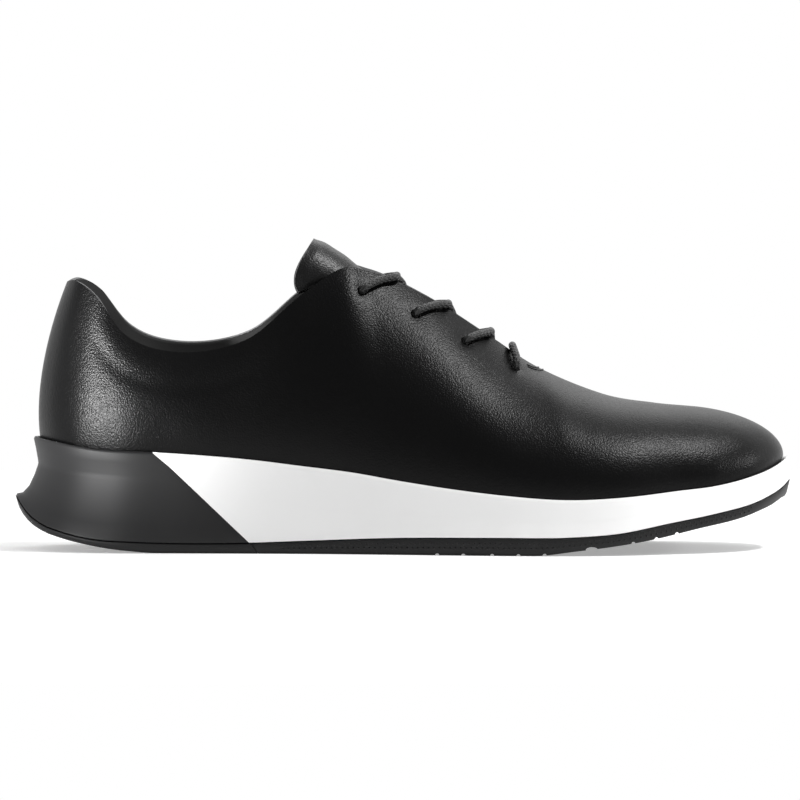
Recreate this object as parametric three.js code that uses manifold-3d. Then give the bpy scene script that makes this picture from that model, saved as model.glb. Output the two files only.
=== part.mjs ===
// A laced leather golf shoe for the right foot, in millimetres.
// +X points to the toe, +Y to the medial side and +Z up. The shoe stands on Z = 0.

import * as THREE from 'three';
import { mergeVertices } from 'three/addons/utils/BufferGeometryUtils.js';
import Module from 'manifold-3d';

const wasm = await Module();
wasm.setup();

// ---------------------------------------------------------------- driving dimensions

const length = 302.6;
const width = 110;
const height = 122;

const clearance = 0.3;

const leatherThickness = 1.4;
const liningThickness = 0.8;
const counterThickness = 1.5;
const puffThickness = 1.2;
const reinforcementThickness = 0.8;
const collarPadThickness = 4.2;
const boardThickness = 1.6;
const footbedThickness = 5;
const footbedCoverThickness = 1;
const lastingMargin = 10;

const rimWall = 2;
const cupWall = 5.3;
const featherInset = cupWall + clearance;
const outsoleTaper = 0.8;

const shankWidth = 16;
const shankThickness = 1.6;

const eyeletDiameter = 4.4;
const laceDiameter = 3;
const agletDiameter = 3.4;
const agletLength = 18;

// How far each eyelet stands in from the edge of the facing, from the top row down.
const eyeletInsets = [10.5, 13.5, 13.5, 13];

const tongueLeatherThickness = 1.2;
const tongueFoamThickness = 3.4;
const tongueLiningThickness = 0.8;

// ---------------------------------------------------------------- smooth curves

// The shoe is drawn once at this size, and the drawing is graded to the driving dimensions.
const drawn = { length: 302.6, width: 110, height: 122 };
const grade = new THREE.Vector3(length / drawn.length, width / drawn.width, height / drawn.height);

// A cubic through every knot. A level stretch stays level, so flats and shared points are exact.
function smooth(knots, values, before, after) {
  const slopes = knots.map((knot, i) => {
    const last = knots.length - 1;
    const stepIn = i > 0 ? knot - knots[i - 1] : knots[1] - knots[0];
    const stepOut = i < last ? knots[i + 1] - knot : knots[last] - knots[last - 1];
    const riseIn = (values[i] - (i > 0 ? values[i - 1] : before)) / stepIn;
    const riseOut = ((i < last ? values[i + 1] : after) - values[i]) / stepOut;
    if (riseIn === 0 || riseOut === 0) return 0;
    return (riseIn * stepOut + riseOut * stepIn) / (stepIn + stepOut);
  });
  return (at) => {
    let i = 0;
    while (i < knots.length - 2 && at > knots[i + 1]) i += 1;
    const step = knots[i + 1] - knots[i];
    const t = THREE.MathUtils.clamp((at - knots[i]) / step, 0, 1);
    const u = 1 - t;
    return values[i] * u * u * (1 + 2 * t) + slopes[i] * step * t * u * u
      + values[i + 1] * t * t * (1 + 2 * u) - slopes[i + 1] * step * t * t * u;
  };
}

// A height, or an offset, along the length of the shoe.
function along(points, scale = 1) {
  const knots = points.map(([x]) => x * grade.x);
  const values = points.map(([, value]) => value * scale);
  const last = values.length - 1;
  const before = 2 * values[0] - values[1];
  const after = 2 * values[last] - values[last - 1];
  return smooth(knots, values, before, after);
}

// ---------------------------------------------------------------- lines of the sole

const rimHeight = along([
  [-144, 43.9], [-118, 40], [-95, 38.8], [-58, 36], [-39, 33.7], [-20, 31.4], [-1.6, 28.3], [17, 25.5],
  [36, 23.2], [64, 21.3], [87, 22.4], [106, 24.4], [120, 25.9], [134, 29], [143.5, 32.2], [151, 36],
], grade.z);

const creaseHeight = along([
  [-144, 34], [-139, 32], [-126, 30.4], [-99, 28.3], [-82, 26.3], [-55, 23.2], [-40, 19.7], [-2, 16.8],
  [35, 14], [60, 13.2], [74, 13.5], [95, 16.6], [116, 19.7], [127, 22], [147, 28.3], [151, 30],
], grade.z);

const outsoleTopHeight = along([
  [-151.3, 21.5], [-146, 15], [-140, 10.8], [-133, 8.4], [-126, 6.6], [-118, 5.3], [-106, 4.6], [-60, 4.3],
  [-39, 5.1], [-2, 6.6], [36, 7], [64, 7.2], [83, 8.6], [101, 11.9], [120, 15.4], [139, 20.3], [148, 24.8],
  [151.3, 27.3],
], grade.z);

const outsoleBottomHeight = along([
  [-151.3, 20], [-150, 17], [-146, 11.9], [-140, 8], [-133, 5.6], [-126, 3.9], [-119, 2.5], [-112, 1.4],
  [-105, 0.7], [-95, 0], [50, 0], [66, 1.7], [80, 3.4], [96, 5.9], [112, 9.4], [136.5, 15.3], [146.5, 19.8],
  [150.5, 23.3], [151.3, 26.3],
], grade.z);

const seatHeight = along([
  [-141, 26], [-118, 25], [-80, 24], [-40, 22], [0, 18.5], [40, 15.5], [70, 15.2], [100, 18], [120, 21],
  [147, 27.5],
], grade.z);

// How far the side of the sole stands out from the rim at the crease and at the top of the outsole.
const creaseFlare = along([[-144, -1.7], [-126, -1.2], [-99, -0.3], [-80, 0.2], [60, 0.6], [151, 0]]);
const outsoleFlare = along([
  [-144, 7.3], [-130, 6], [-112, 4], [-99, 3], [-60, 2.2], [60, 2], [120, 1.2], [151, 0.3],
]);

// ---------------------------------------------------------------- ribs of the last

// One row for each rib, heel to toe. rim: the sole's edge at x, lateral y and medial y. top: where the
// rib ends, at x, half the gap, and z. raise: how much higher the medial top is. ridge: the y of the middle.
// belly and shoulder: how far the rib's two handles reach out and up, and out and down.
const ribs = [
  { rim: [-144, 0, 0], top: [-131, 0, 104], raise: 0, ridge: 0, belly: [2.1, 17.5], shoulder: [8, 20] },
  { rim: [-139.5, -13, 12.5], top: [-127, 11, 104.5], raise: 1, ridge: 0, belly: [2, 17], shoulder: [7, 19] },
  { rim: [-129, -24.5, 24], top: [-119, 18.5, 99], raise: 2, ridge: 0, belly: [2, 15], shoulder: [6, 16] },
  { rim: [-112.5, -31.8, 31], top: [-108, 24, 84.5], raise: 3, ridge: 0, belly: [2, 14], shoulder: [5, 12] },
  { rim: [-88, -35, 33], top: [-88, 27, 77.3], raise: 3, ridge: 0, belly: [2.5, 13], shoulder: [4.5, 11] },
  { rim: [-60, -37, 32], top: [-61, 27, 81.8], raise: 2.5, ridge: 0, belly: [2.5, 14], shoulder: [6, 13] },
  { rim: [-31, -40, 32.5], top: [-37, 23.5, 101], raise: 2, ridge: 0, belly: [2.5, 20], shoulder: [11, 20] },
  { rim: [-18, -42, 33.8], top: [-24, 18, 109.3], raise: 1, ridge: 0, belly: [2, 23], shoulder: [15, 18] },
  { rim: [-4, -44.8, 36], top: [-14, 13.5, 108.5], raise: 0.5, ridge: 0, belly: [2, 26], shoulder: [16, 19] },
  { rim: [22, -49.7, 42.5], top: [10, 9, 98], raise: 0, ridge: 0, belly: [1.5, 28], shoulder: [19, 19] },
  { rim: [45, -53.2, 49.3], top: [35, 6, 82], raise: 0, ridge: 0, belly: [1.5, 25], shoulder: [21, 16] },
  { rim: [62, -54, 52.3], top: [51, 0, 71.5], raise: 0, ridge: 0, belly: [1.5, 24], shoulder: [27, 7] },
  { rim: [85, -51.6, 51.4], top: [78, 0, 60.2], raise: 0, ridge: 1.5, belly: [1.5, 20], shoulder: [29, 1] },
  { rim: [106, -43.2, 47], top: [98, 0, 56.7], raise: 0, ridge: 3, belly: [1.5, 17], shoulder: [27, 0] },
  { rim: [124, -35.5, 41], top: [108, 0, 55.8], raise: 0, ridge: 4, belly: [1.5, 13.5], shoulder: [25, 0] },
  { rim: [139.5, -23, 31.5], top: [112, 0, 55.4], raise: 0, ridge: 5, belly: [1, 11.5], shoulder: [22, 0] },
  { rim: [148, -8.5, 21.5], top: [112, 0, 55.4], raise: 0, ridge: 5, belly: [0.6, 10], shoulder: [20.5, 0] },
  { rim: [151, 7, 7], top: [112, 0, 55.4], raise: 0, ridge: 5, belly: [0.3, 9.5], shoulder: [20, 0] },
];
const throatRib = 11;
const crestEndRib = 14;
const poleRib = 15;
const ribSteps = 8;

// The rows stand closer where the outline turns, round the heel and the toe.
const rowPitch = 10;
const turnPitch = 6;
const firstPlainRib = 2;
const lastPlainRib = 14;

// The ribs stand at their distance along the sole's edge, averaged over both sides.
const stations = [0];
for (let i = 1; i < ribs.length; i += 1) {
  const [x, lateral, medial] = ribs[i].rim;
  const [previousX, previousLateral, previousMedial] = ribs[i - 1].rim;
  const lateralStep = Math.hypot(x - previousX, lateral - previousLateral);
  const medialStep = Math.hypot(x - previousX, medial - previousMedial);
  stations.push(stations[i - 1] + (lateralStep + medialStep) / 2);
}

// One measure of the ribs as a smooth function of the station. Past the heel and the toe the line
// carries on into the partner's line, which is the other side of the shoe.
function ribCurve(pick, scale, partner = pick) {
  const values = ribs.map((rib) => pick(rib) * scale);
  const before = partner(ribs[1]) * scale;
  const after = partner(ribs[ribs.length - 2]) * scale;
  return smooth(stations, values, before, after);
}

const rimX = ribCurve((rib) => rib.rim[0], grade.x);
const rimY = {
  lateral: ribCurve((rib) => rib.rim[1], grade.y, (rib) => rib.rim[2]),
  medial: ribCurve((rib) => rib.rim[2], grade.y, (rib) => rib.rim[1]),
};
const topX = ribCurve((rib) => rib.top[0], grade.x);
const topGap = ribCurve((rib) => rib.top[1], grade.y, (rib) => -rib.top[1]);
const topZ = ribCurve((rib) => rib.top[2], grade.z);
const topRaise = ribCurve((rib) => rib.raise, grade.z);
const topRidge = ribCurve((rib) => rib.ridge, grade.y);
const bellyOut = ribCurve((rib) => rib.belly[0], grade.y);
const bellyUp = ribCurve((rib) => rib.belly[1], grade.z);
const shoulderOut = ribCurve((rib) => rib.shoulder[0], grade.y);
const shoulderDown = ribCurve((rib) => rib.shoulder[1], grade.z);

function sidePoint(side, station) {
  return new THREE.Vector2(rimX(station), rimY[side](station));
}

// The level direction out of the sole's edge.
function outward(side, station) {
  const step = 0.5;
  const mirrored = side === 'lateral' ? 'medial' : 'lateral';
  const end = stations[stations.length - 1];
  const pastToe = station + step > end;
  const pastHeel = station < step;
  const ahead = pastToe ? sidePoint(mirrored, 2 * end - station - step) : sidePoint(side, station + step);
  const behind = pastHeel ? sidePoint(mirrored, step - station) : sidePoint(side, station - step);
  const run = ahead.sub(behind).normalize();
  return side === 'lateral' ? new THREE.Vector2(run.y, -run.x) : new THREE.Vector2(-run.y, run.x);
}

// A point of the sole's edge moved out by an offset, at the height that a line has there.
function edgePoint(side, station, offset, heightLine, lift = 0) {
  const flat = sidePoint(side, station).addScaledVector(outward(side, station), offset);
  return new THREE.Vector3(flat.x, flat.y, heightLine(flat.x) + lift);
}

function topPoint(side, station) {
  const sign = side === 'lateral' ? -1 : 1;
  const y = topRidge(station) + sign * topGap(station);
  const z = topZ(station) + (side === 'medial' ? topRaise(station) : 0);
  return new THREE.Vector3(topX(station), y, z);
}

// How steeply the crest of the vamp falls at a station, up to the rib where the crest ends.
function crestSlope(station) {
  const step = 2;
  const at = Math.min(station, stations[crestEndRib] - step);
  return (topZ(at + step) - topZ(at - step)) / (topX(at + step) - topX(at - step));
}

// The rib as a cubic from the rim to its top. Past the throat its top eases into the slope of the crest.
const crestEase = 12;
function ribAt(side, station) {
  const foot = edgePoint(side, station, -(rimWall + clearance), rimHeight);
  foot.z = rimHeight(rimX(station));
  const top = topPoint(side, station);
  const out = outward(side, station);
  const belly = foot.clone();
  belly.x += out.x * bellyOut(station);
  belly.y += out.y * bellyOut(station);
  belly.z += bellyUp(station);
  const toRim = new THREE.Vector2(foot.x - top.x, foot.y - top.y).setLength(shoulderOut(station));
  const throat = stations[throatRib];
  const eased = THREE.MathUtils.smoothstep(station, throat, throat + crestEase);
  const fall = eased * crestSlope(station) * toRim.x;
  const shoulder = new THREE.Vector3(top.x + toRim.x, top.y + toRim.y, top.z + fall - shoulderDown(station));
  return new THREE.CubicBezierCurve3(foot, belly, shoulder, top);
}

// ---------------------------------------------------------------- solids from grids

// A mesh whose triangles name shared vertices, left without the triangles that have closed to a line.
function closedMesh(points, triangles) {
  const geometry = new THREE.BufferGeometry();
  const coordinates = points.flatMap((point) => point.toArray());
  geometry.setAttribute('position', new THREE.Float32BufferAttribute(coordinates, 3));
  const kept = triangles.filter(([a, b, c]) => a !== b && b !== c && c !== a);
  geometry.setIndex(kept.flat());
  return geometry;
}

// A skin is a sheet of quads over shared points, with a normal at each point.
class Skin {
  constructor() {
    this.points = [];
    this.labels = [];
    this.quads = [];
  }

  add(point, label) {
    this.points.push(point);
    this.labels.push(label);
    return this.points.length - 1;
  }

  finish() {
    this.normals = this.points.map(() => new THREE.Vector3());
    for (const [a, b, c, d] of this.quads) {
      const across = this.points[c].clone().sub(this.points[a]);
      const down = this.points[d].clone().sub(this.points[b]);
      const normal = across.cross(down);
      for (const corner of new Set([a, b, c, d])) this.normals[corner].add(normal);
    }
    this.normals.forEach((normal) => normal.normalize());
    return this;
  }

  // The solid between two depths below the skin, over the quads whose points all pass the test.
  layer(keeps, outerDepth, innerDepth) {
    const quads = this.quads.filter((quad) => quad.every((corner) => keeps(this.labels[corner])));
    const used = [...new Set(quads.flat())];
    const place = new Map(used.map((corner, i) => [corner, i]));
    const sunk = (depth) => used.map((corner) => this.points[corner].clone()
      .addScaledVector(this.normals[corner], -depth(this.labels[corner])));
    const points = [...sunk(outerDepth), ...sunk(innerDepth)];
    const count = used.length;
    const triangles = [];
    const edges = new Map();
    for (const quad of quads) {
      const [a, b, c, d] = quad.map((corner) => place.get(corner));
      triangles.push([a, b, c], [a, c, d]);
      triangles.push([a + count, c + count, b + count], [a + count, d + count, c + count]);
      for (const [from, to] of [[a, b], [b, c], [c, d], [d, a]]) {
        if (from === to) continue;
        if (!edges.delete(`${to} ${from}`)) edges.set(`${from} ${to}`, [from, to]);
      }
    }
    for (const [from, to] of edges.values()) {
      triangles.push([from, from + count, to + count], [from, to + count, to]);
    }
    return closedMesh(points, triangles);
  }
}

// The rows that a grid takes along the shoe, spaced about a pitch apart and on every rib.
const rows = [0];
for (let i = 1; i < stations.length; i += 1) {
  const pitch = i <= firstPlainRib || i > lastPlainRib ? turnPitch : rowPitch;
  const steps = Math.max(1, Math.round((stations[i] - stations[i - 1]) / pitch));
  for (let step = 1; step <= steps; step += 1) {
    rows.push(THREE.MathUtils.lerp(stations[i - 1], stations[i], step / steps));
  }
}
const lastRow = rows.length - 1;
const throatRow = rows.indexOf(stations[throatRib]);
const poleRow = rows.indexOf(stations[poleRib]);

// Columns of the last's skin: the margin's edge, the feather, the top of the board, the rim, the rib.
const featherColumn = 1;
const boardColumn = 2;
const rimColumn = 3;
const topColumn = rimColumn + ribSteps;
const boardTop = clearance + leatherThickness + clearance + boardThickness;
const overBoard = clearance + 1;

function columnPoint(side, row, column) {
  const station = rows[row];
  if (column === 0) return edgePoint(side, station, -(featherInset + lastingMargin), seatHeight, clearance);
  const feather = edgePoint(side, station, -featherInset, seatHeight, clearance);
  if (column === featherColumn) return feather;
  const rib = ribAt(side, station);
  if (column > boardColumn) return rib.getPoint((column - rimColumn) / ribSteps);
  const share = (boardTop + overBoard - clearance) / (rib.v0.z - feather.z);
  return feather.lerp(rib.v0, share);
}

function buildLastSkin() {
  const skin = new Skin();
  const index = { lateral: [], medial: [] };
  for (const side of ['lateral', 'medial']) {
    for (let row = 0; row <= lastRow; row += 1) {
      index[side].push([]);
      for (let column = 0; column <= topColumn; column += 1) {
        const closed = row === 0 || row === lastRow || (column === topColumn && row >= throatRow);
        const shared = side === 'medial' && closed;
        const onPole = column === topColumn && row > poleRow;
        let at = null;
        if (shared) at = index.lateral[row][column];
        else if (onPole) at = index.lateral[poleRow][topColumn];
        else at = skin.add(columnPoint(side, row, column), { side, row, column, x: topX(rows[row]) });
        index[side][row].push(at);
      }
    }
    for (let row = 0; row < lastRow; row += 1) {
      for (let column = 0; column < topColumn; column += 1) {
        const near = index[side][row];
        const far = index[side][row + 1];
        const quad = [near[column], far[column], far[column + 1], near[column + 1]];
        skin.quads.push(side === 'lateral' ? quad : quad.reverse());
      }
    }
  }
  return skin.finish();
}

// A closed ring solid: rings of the sole's edge from the lowest to the highest, capped across the shoe.
function ringSolid(rings) {
  const loop = [];
  for (let row = 0; row <= lastRow; row += 1) loop.push(['lateral', row]);
  for (let row = lastRow - 1; row > 0; row -= 1) loop.push(['medial', row]);
  const count = loop.length;
  const points = rings.flatMap((ring) => loop.map(([side, row]) => ring(side, rows[row])));
  const triangles = [];
  for (let level = 0; level < rings.length - 1; level += 1) {
    for (let i = 0; i < count; i += 1) {
      const a = level * count + i;
      const b = level * count + ((i + 1) % count);
      triangles.push([a, b, b + count], [a, b + count, a + count]);
    }
  }
  const top = (rings.length - 1) * count;
  for (let row = 0; row < lastRow; row += 1) {
    const a = row;
    const b = row + 1;
    const c = (count - row - 1) % count;
    const d = (count - row) % count;
    triangles.push([a, c, b], [a, d, c]);
    triangles.push([top + a, top + b, top + c], [top + a, top + c, top + d]);
  }
  return closedMesh(points, triangles);
}

const ring = (offset, heightLine, lift = 0) => (side, station) => {
  const reach = typeof offset === 'function' ? offset(rimX(station)) : offset;
  return edgePoint(side, station, reach, heightLine, lift);
};

// A solid with one outline in the plane of X and Z, run across the shoe.
function acrossShoe(outline, fromY, toY) {
  const shape = new THREE.Shape(outline.map(([x, z]) => new THREE.Vector2(x, z)));
  const geometry = new THREE.ExtrudeGeometry(shape, { depth: toY - fromY, bevelEnabled: false });
  geometry.rotateX(Math.PI / 2);
  geometry.translate(0, toY, 0);
  return geometry;
}

// ---------------------------------------------------------------- joins and cuts

function toManifold(source) {
  const geometry = source.clone();
  geometry.deleteAttribute('normal');
  geometry.deleteAttribute('uv');
  const merged = mergeVertices(geometry, 1e-4);
  return new wasm.Manifold(new wasm.Mesh({
    numProp: 3,
    vertProperties: new Float32Array(merged.attributes.position.array),
    triVerts: new Uint32Array(merged.index.array),
  }));
}

function toGeometry(manifold) {
  const mesh = manifold.getMesh();
  const geometry = new THREE.BufferGeometry();
  geometry.setAttribute('position', new THREE.BufferAttribute(mesh.vertProperties, 3));
  geometry.setIndex(new THREE.BufferAttribute(mesh.triVerts, 1));
  return geometry;
}

function cut(geometry, ...cutters) {
  const whole = toManifold(geometry);
  return toGeometry(cutters.reduce((solid, cutter) => solid.subtract(toManifold(cutter)), whole));
}

// ---------------------------------------------------------------- the shoe

const shoe = new THREE.Group();

function addPart(name, geometry, color, roughness, metalness = 0) {
  const mesh = new THREE.Mesh(geometry, new THREE.MeshStandardMaterial({ color, roughness, metalness }));
  mesh.name = name;
  shoe.add(mesh);
}

// ---------------------------------------------------------------- sole

// The side is hollow between the crease and the outsole: half way down it has flared by less than half.
const hollowDrop = 0.5;
const hollowFlare = 0.3;
const midSideHeight = (x) => THREE.MathUtils.lerp(creaseHeight(x), outsoleTopHeight(x), hollowDrop);
const midSideFlare = (x) => THREE.MathUtils.lerp(creaseFlare(x), outsoleFlare(x), hollowFlare);

// The whole cup above the outsole: side, rim, inner wall and the seat that carries the last.
const cup = ringSolid([
  ring(outsoleFlare, outsoleTopHeight),
  ring(midSideFlare, midSideHeight),
  ring(creaseFlare, creaseHeight),
  ring(0, rimHeight),
  ring(-rimWall, rimHeight),
  ring(-cupWall, seatHeight),
]);

// What lies inside the clip's wall, from below the cup to above it.
const underCup = -3;
const overCup = 40;
const coreFill = (gap) => ringSolid([
  ring((x) => outsoleFlare(x) - cupWall - gap, outsoleTopHeight, underCup),
  ring(-cupWall - gap, seatHeight),
  ring(-cupWall - gap, seatHeight, overCup),
]);

// The clip ends at the front on a slanting line, curved back a little at the rim.
const clipFront = [[-103, 60], [-96.7, 38.6], [-90, 33], [-59.7, 4.5], [-52, -3]];
const clipRegion = (gap) => {
  const front = clipFront.map(([x, z]) => [x * grade.x + gap, z * grade.z]);
  const [, topOfRegion] = front[0];
  const [, footOfRegion] = front[front.length - 1];
  return acrossShoe([...front, [-length, footOfRegion], [-length, topOfRegion]], -width, width);
};

const shankEnds = [-60, 40];
const shankSteps = 10;
function shankBlank(below, above, grow) {
  const [back, front] = shankEnds.map((x) => x * grade.x);
  const upper = [];
  const lower = [];
  for (let step = 0; step <= shankSteps; step += 1) {
    const x = THREE.MathUtils.lerp(back - grow, front + grow, step / shankSteps);
    upper.push([x, seatHeight(x) + above]);
    lower.unshift([x, seatHeight(x) - below]);
  }
  return acrossShoe([...upper, ...lower], -shankWidth / 2 - grow, shankWidth / 2 + grow);
}

const cupSolid = toManifold(cup);
const clipSolid = cupSolid
  .intersect(toManifold(clipRegion(0)))
  .subtract(toManifold(coreFill(-clearance / 2)));
const coreSolid = toManifold(coreFill(clearance / 2));
const midsoleSolid = cupSolid
  .subtract(toManifold(clipRegion(clearance)).subtract(coreSolid))
  .subtract(toManifold(shankBlank(shankThickness + clearance, 1, clearance)));

// The tread: round grooves across the forefoot, and one wide flex groove behind the toe.
const grooves = [
  [13, 1.6], [23, 1.6], [34, 1.6], [44, 1.6], [54, 1.6], [72, 4.7], [88, 1.6], [97, 1.6], [105, 1.6],
];
function grooveCutter([drawnX, grooveWidth]) {
  const groove = new THREE.CylinderGeometry(grooveWidth / 2, grooveWidth / 2, 2 * width, 8);
  const x = drawnX * grade.x;
  return groove.translate(x, 0, outsoleBottomHeight(x));
}

const outsole = toManifold(ringSolid([
  ring((x) => outsoleFlare(x) - outsoleTaper, outsoleBottomHeight),
  ring(outsoleFlare, outsoleTopHeight, -clearance),
]));

// The outsole is in two pieces, which meet on a slanting plane under the front of the clip.
const seamMiddle = new THREE.Vector3(-57, 0, 2.2).multiply(grade);
const seamNormal = new THREE.Vector3(4.4, 0, 5.7).divide(grade).normalize();
const seamReach = seamNormal.dot(seamMiddle);
const outsoleFront = grooves.map(grooveCutter).reduce(
  (solid, groove) => solid.subtract(toManifold(groove)),
  outsole.trimByPlane(seamNormal.toArray(), seamReach + clearance / 2),
);
const outsoleBack = outsole.trimByPlane(seamNormal.clone().negate().toArray(), clearance / 2 - seamReach);

const white = 0xe9e9e6;
const black = 0x101010;
const darkRubber = 0x1c1c1d;

addPart('outsole_forefoot', toGeometry(outsoleFront), darkRubber, 0.6);
addPart('outsole_heel', toGeometry(outsoleBack), darkRubber, 0.6);
addPart('midsole', toGeometry(midsoleSolid), white, 0.65);
addPart('heel_clip', toGeometry(clipSolid), black, 0.45);
addPart('shank', shankBlank(shankThickness, 0, 0), 0x8a8f96, 0.3, 0.9);

// ---------------------------------------------------------------- inside floor

const boardGap = 2.1;
const footbedGap = 3;
const boardInset = cupWall + boardGap;
const footbedInset = boardInset + footbedGap;
const boardFloor = boardTop - boardThickness;
const slab = (inset, from, thickness) => ringSolid([
  ring(-inset, seatHeight, from),
  ring(-inset, seatHeight, from + thickness),
]);
const footbedFloor = boardTop + clearance;
const coverFloor = footbedFloor + footbedThickness + clearance;

addPart('lasting_board', slab(boardInset, boardFloor, boardThickness), 0x9c8f78, 0.9);
addPart('footbed', slab(footbedInset, footbedFloor, footbedThickness), 0x4a4d52, 0.9);
addPart('footbed_cover', slab(footbedInset, coverFloor, footbedCoverThickness), 0x1b1b1c, 0.7);

// ---------------------------------------------------------------- upper

const last = buildLastSkin();
const below = (label) => topColumn - label.column;
const constant = (depth) => () => depth;

const backerDepth = leatherThickness + clearance;
const facingLiningDepth = backerDepth + reinforcementThickness + clearance;
const deepLiningDepth = backerDepth + Math.max(counterThickness, puffThickness) + clearance;

// The collar pad fills three columns under the top edge and thins out towards the facings.
const padFront = -46 * grade.x;
const padFade = 12 * grade.x;
const padColumns = [0, 1, 1, 0.5];
const padSkirt = 0.8;
function padInnerDepth(label) {
  const fade = THREE.MathUtils.clamp((padFront - label.x) / padFade, 0, 1);
  const share = fade * (padColumns[below(label)] ?? 0);
  return backerDepth + padSkirt + (collarPadThickness - padSkirt) * share;
}
const inPad = (label) => label.x < padFront && below(label) > 0 && below(label) < padColumns.length;

function liningDepth(label) {
  if (label.row > throatRow) return deepLiningDepth;
  if (inPad(label)) return padInnerDepth(label) + clearance;
  if (below(label) === 0 && label.x < padFront) return backerDepth;
  return below(label) < padColumns.length ? facingLiningDepth : deepLiningDepth;
}

// Where the ribs that carry the eyelets end, at even steps along the edge of the facing.
const eyeletTops = [-17.5, 2.2, 22, 41.2];
const eyeletSides = ['lateral', 'medial'];

// The station whose rib ends at an x.
function stationOfTop(x) {
  let low = stations[0];
  let high = stations[throatRib];
  while (high - low > 0.01) {
    const middle = (low + high) / 2;
    if (topX(middle) < x) low = middle;
    else high = middle;
  }
  return low;
}

// A point of the leather at a share of the way up a rib, and the direction straight out of it.
function onLeather(side, station, share) {
  const point = ribAt(side, station).getPointAt(share);
  const alongRib = ribAt(side, station).getTangentAt(share);
  const step = 1;
  const ahead = ribAt(side, station + step).getPointAt(share);
  const normal = ahead.sub(ribAt(side, station - step).getPointAt(share)).cross(alongRib).normalize();
  if (side === 'medial') normal.negate();
  return { point, normal };
}

function eyeletAt(side, row) {
  const station = stationOfTop(eyeletTops[row] * grade.x);
  const share = 1 - eyeletInsets[row] / ribAt(side, station).getLength();
  return { side, station, share, ...onLeather(side, station, share) };
}

function eyeletCutter({ point, normal }) {
  const depth = 16;
  const punch = new THREE.CylinderGeometry(eyeletDiameter / 2, eyeletDiameter / 2, depth, 10);
  const turn = new THREE.Quaternion().setFromUnitVectors(new THREE.Vector3(0, 1, 0), normal);
  punch.applyQuaternion(turn);
  punch.translate(point.x, point.y, point.z);
  return punch;
}
const eyelets = {
  lateral: eyeletTops.map((_, row) => eyeletAt('lateral', row)),
  medial: eyeletTops.map((_, row) => eyeletAt('medial', row)),
};
const punches = [...eyelets.lateral, ...eyelets.medial].map(eyeletCutter);

const leather = last.layer(() => true, constant(0), constant(leatherThickness));
addPart('upper', cut(leather, ...punches), black, 0.4);

const counterRow = rows.indexOf(stations[4]);
const inCounter = (label) => label.row <= counterRow && label.column >= boardColumn
  && below(label) > padColumns.length - 1;
addPart(
  'heel_counter',
  last.layer(inCounter, constant(backerDepth), constant(backerDepth + counterThickness)),
  0xb9a98c,
  0.8,
);

const puffRow = rows.indexOf(stations[13]);
const inPuff = (label) => label.row >= puffRow && label.column >= boardColumn;
addPart(
  'toe_puff',
  last.layer(inPuff, constant(backerDepth), constant(backerDepth + puffThickness)),
  0xb9a98c,
  0.8,
);

addPart('collar_foam', last.layer(inPad, constant(backerDepth), padInnerDepth), 0xd8c98a, 0.95);

const facingBack = -32 * grade.x;
const facingColumns = 3;
for (const side of eyeletSides) {
  const inFacing = (label) => label.side === side && label.x > facingBack && label.row <= throatRow
    && below(label) < facingColumns && !(label.row === throatRow && below(label) === 0);
  const strip = last.layer(inFacing, constant(backerDepth), constant(backerDepth + reinforcementThickness));
  addPart(`facing_reinforcement_${side}`, cut(strip, ...punches), 0x2a2a2a, 0.8);
}

const inLining = (label) => label.column >= boardColumn;
const lining = cut(
  last.layer(inLining, liningDepth, (label) => liningDepth(label) + liningThickness),
  ...punches,
);
const liningSeam = 20 * grade.x;
const liningBack = toManifold(lining).trimByPlane([-1, 0, 0], clearance / 2 - liningSeam);
const liningFront = toManifold(lining).trimByPlane([1, 0, 0], liningSeam + clearance / 2);
addPart('quarter_lining', toGeometry(liningBack), 0x161616, 0.75);
addPart('vamp_lining', toGeometry(liningFront), 0x161616, 0.75);

// ---------------------------------------------------------------- tongue

// The middle line of the tongue from its base to its top, its arch as a radius and half angle, and the
// straight skirt that hangs from the arch on each side.
const tongueLine = [
  [56, 60.6, 50, 18, 0], [49, 63.4, 36, 27, 0], [38, 70, 24, 42, 0], [25, 79.4, 19, 54, 0],
  [10, 90, 17, 60, 0], [-3, 98.2, 17, 57, 0], [-13, 106.2, 17, 60, 0], [-22.6, 114.2, 17, 66, 3.5],
  [-34.3, 121.6, 18.5, 84, 11.5],
];

// How far the tongue lies below its drawn line, so that thicker leather or a thicker lace still clears it.
const drawnStack = 6.6;
const facingStack = facingLiningDepth + liningThickness;
const tongueSink = facingStack + laceDiameter - drawnStack;

const tongueKnots = tongueLine.map((_, i) => i);
function tongueCurve(column, scale) {
  const values = tongueLine.map((entry) => entry[column] * scale);
  const end = values.length - 1;
  return smooth(tongueKnots, values, 2 * values[0] - values[1], 2 * values[end] - values[end - 1]);
}
const tongueX = tongueCurve(0, grade.x);
const tongueZ = tongueCurve(1, grade.z);
const tongueRadius = tongueCurve(2, grade.y);
const tongueAngle = tongueCurve(3, Math.PI / 180);
const tongueSkirt = tongueCurve(4, grade.z);

// The middle of the tongue's upper face, and the direction straight out of it.
function tongueCrest(at) {
  const reach = 0.1;
  const runX = tongueX(at + reach) - tongueX(at - reach);
  const runZ = tongueZ(at + reach) - tongueZ(at - reach);
  const run = new THREE.Vector2(runX, runZ).normalize();
  const normal = new THREE.Vector3(run.y, 0, -run.x);
  const point = new THREE.Vector3(tongueX(at), 0, tongueZ(at)).addScaledVector(normal, -tongueSink);
  return { point, normal };
}

const tongueStepsLong = 2 * (tongueLine.length - 1);
const tongueStepsAcross = 12;

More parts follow.
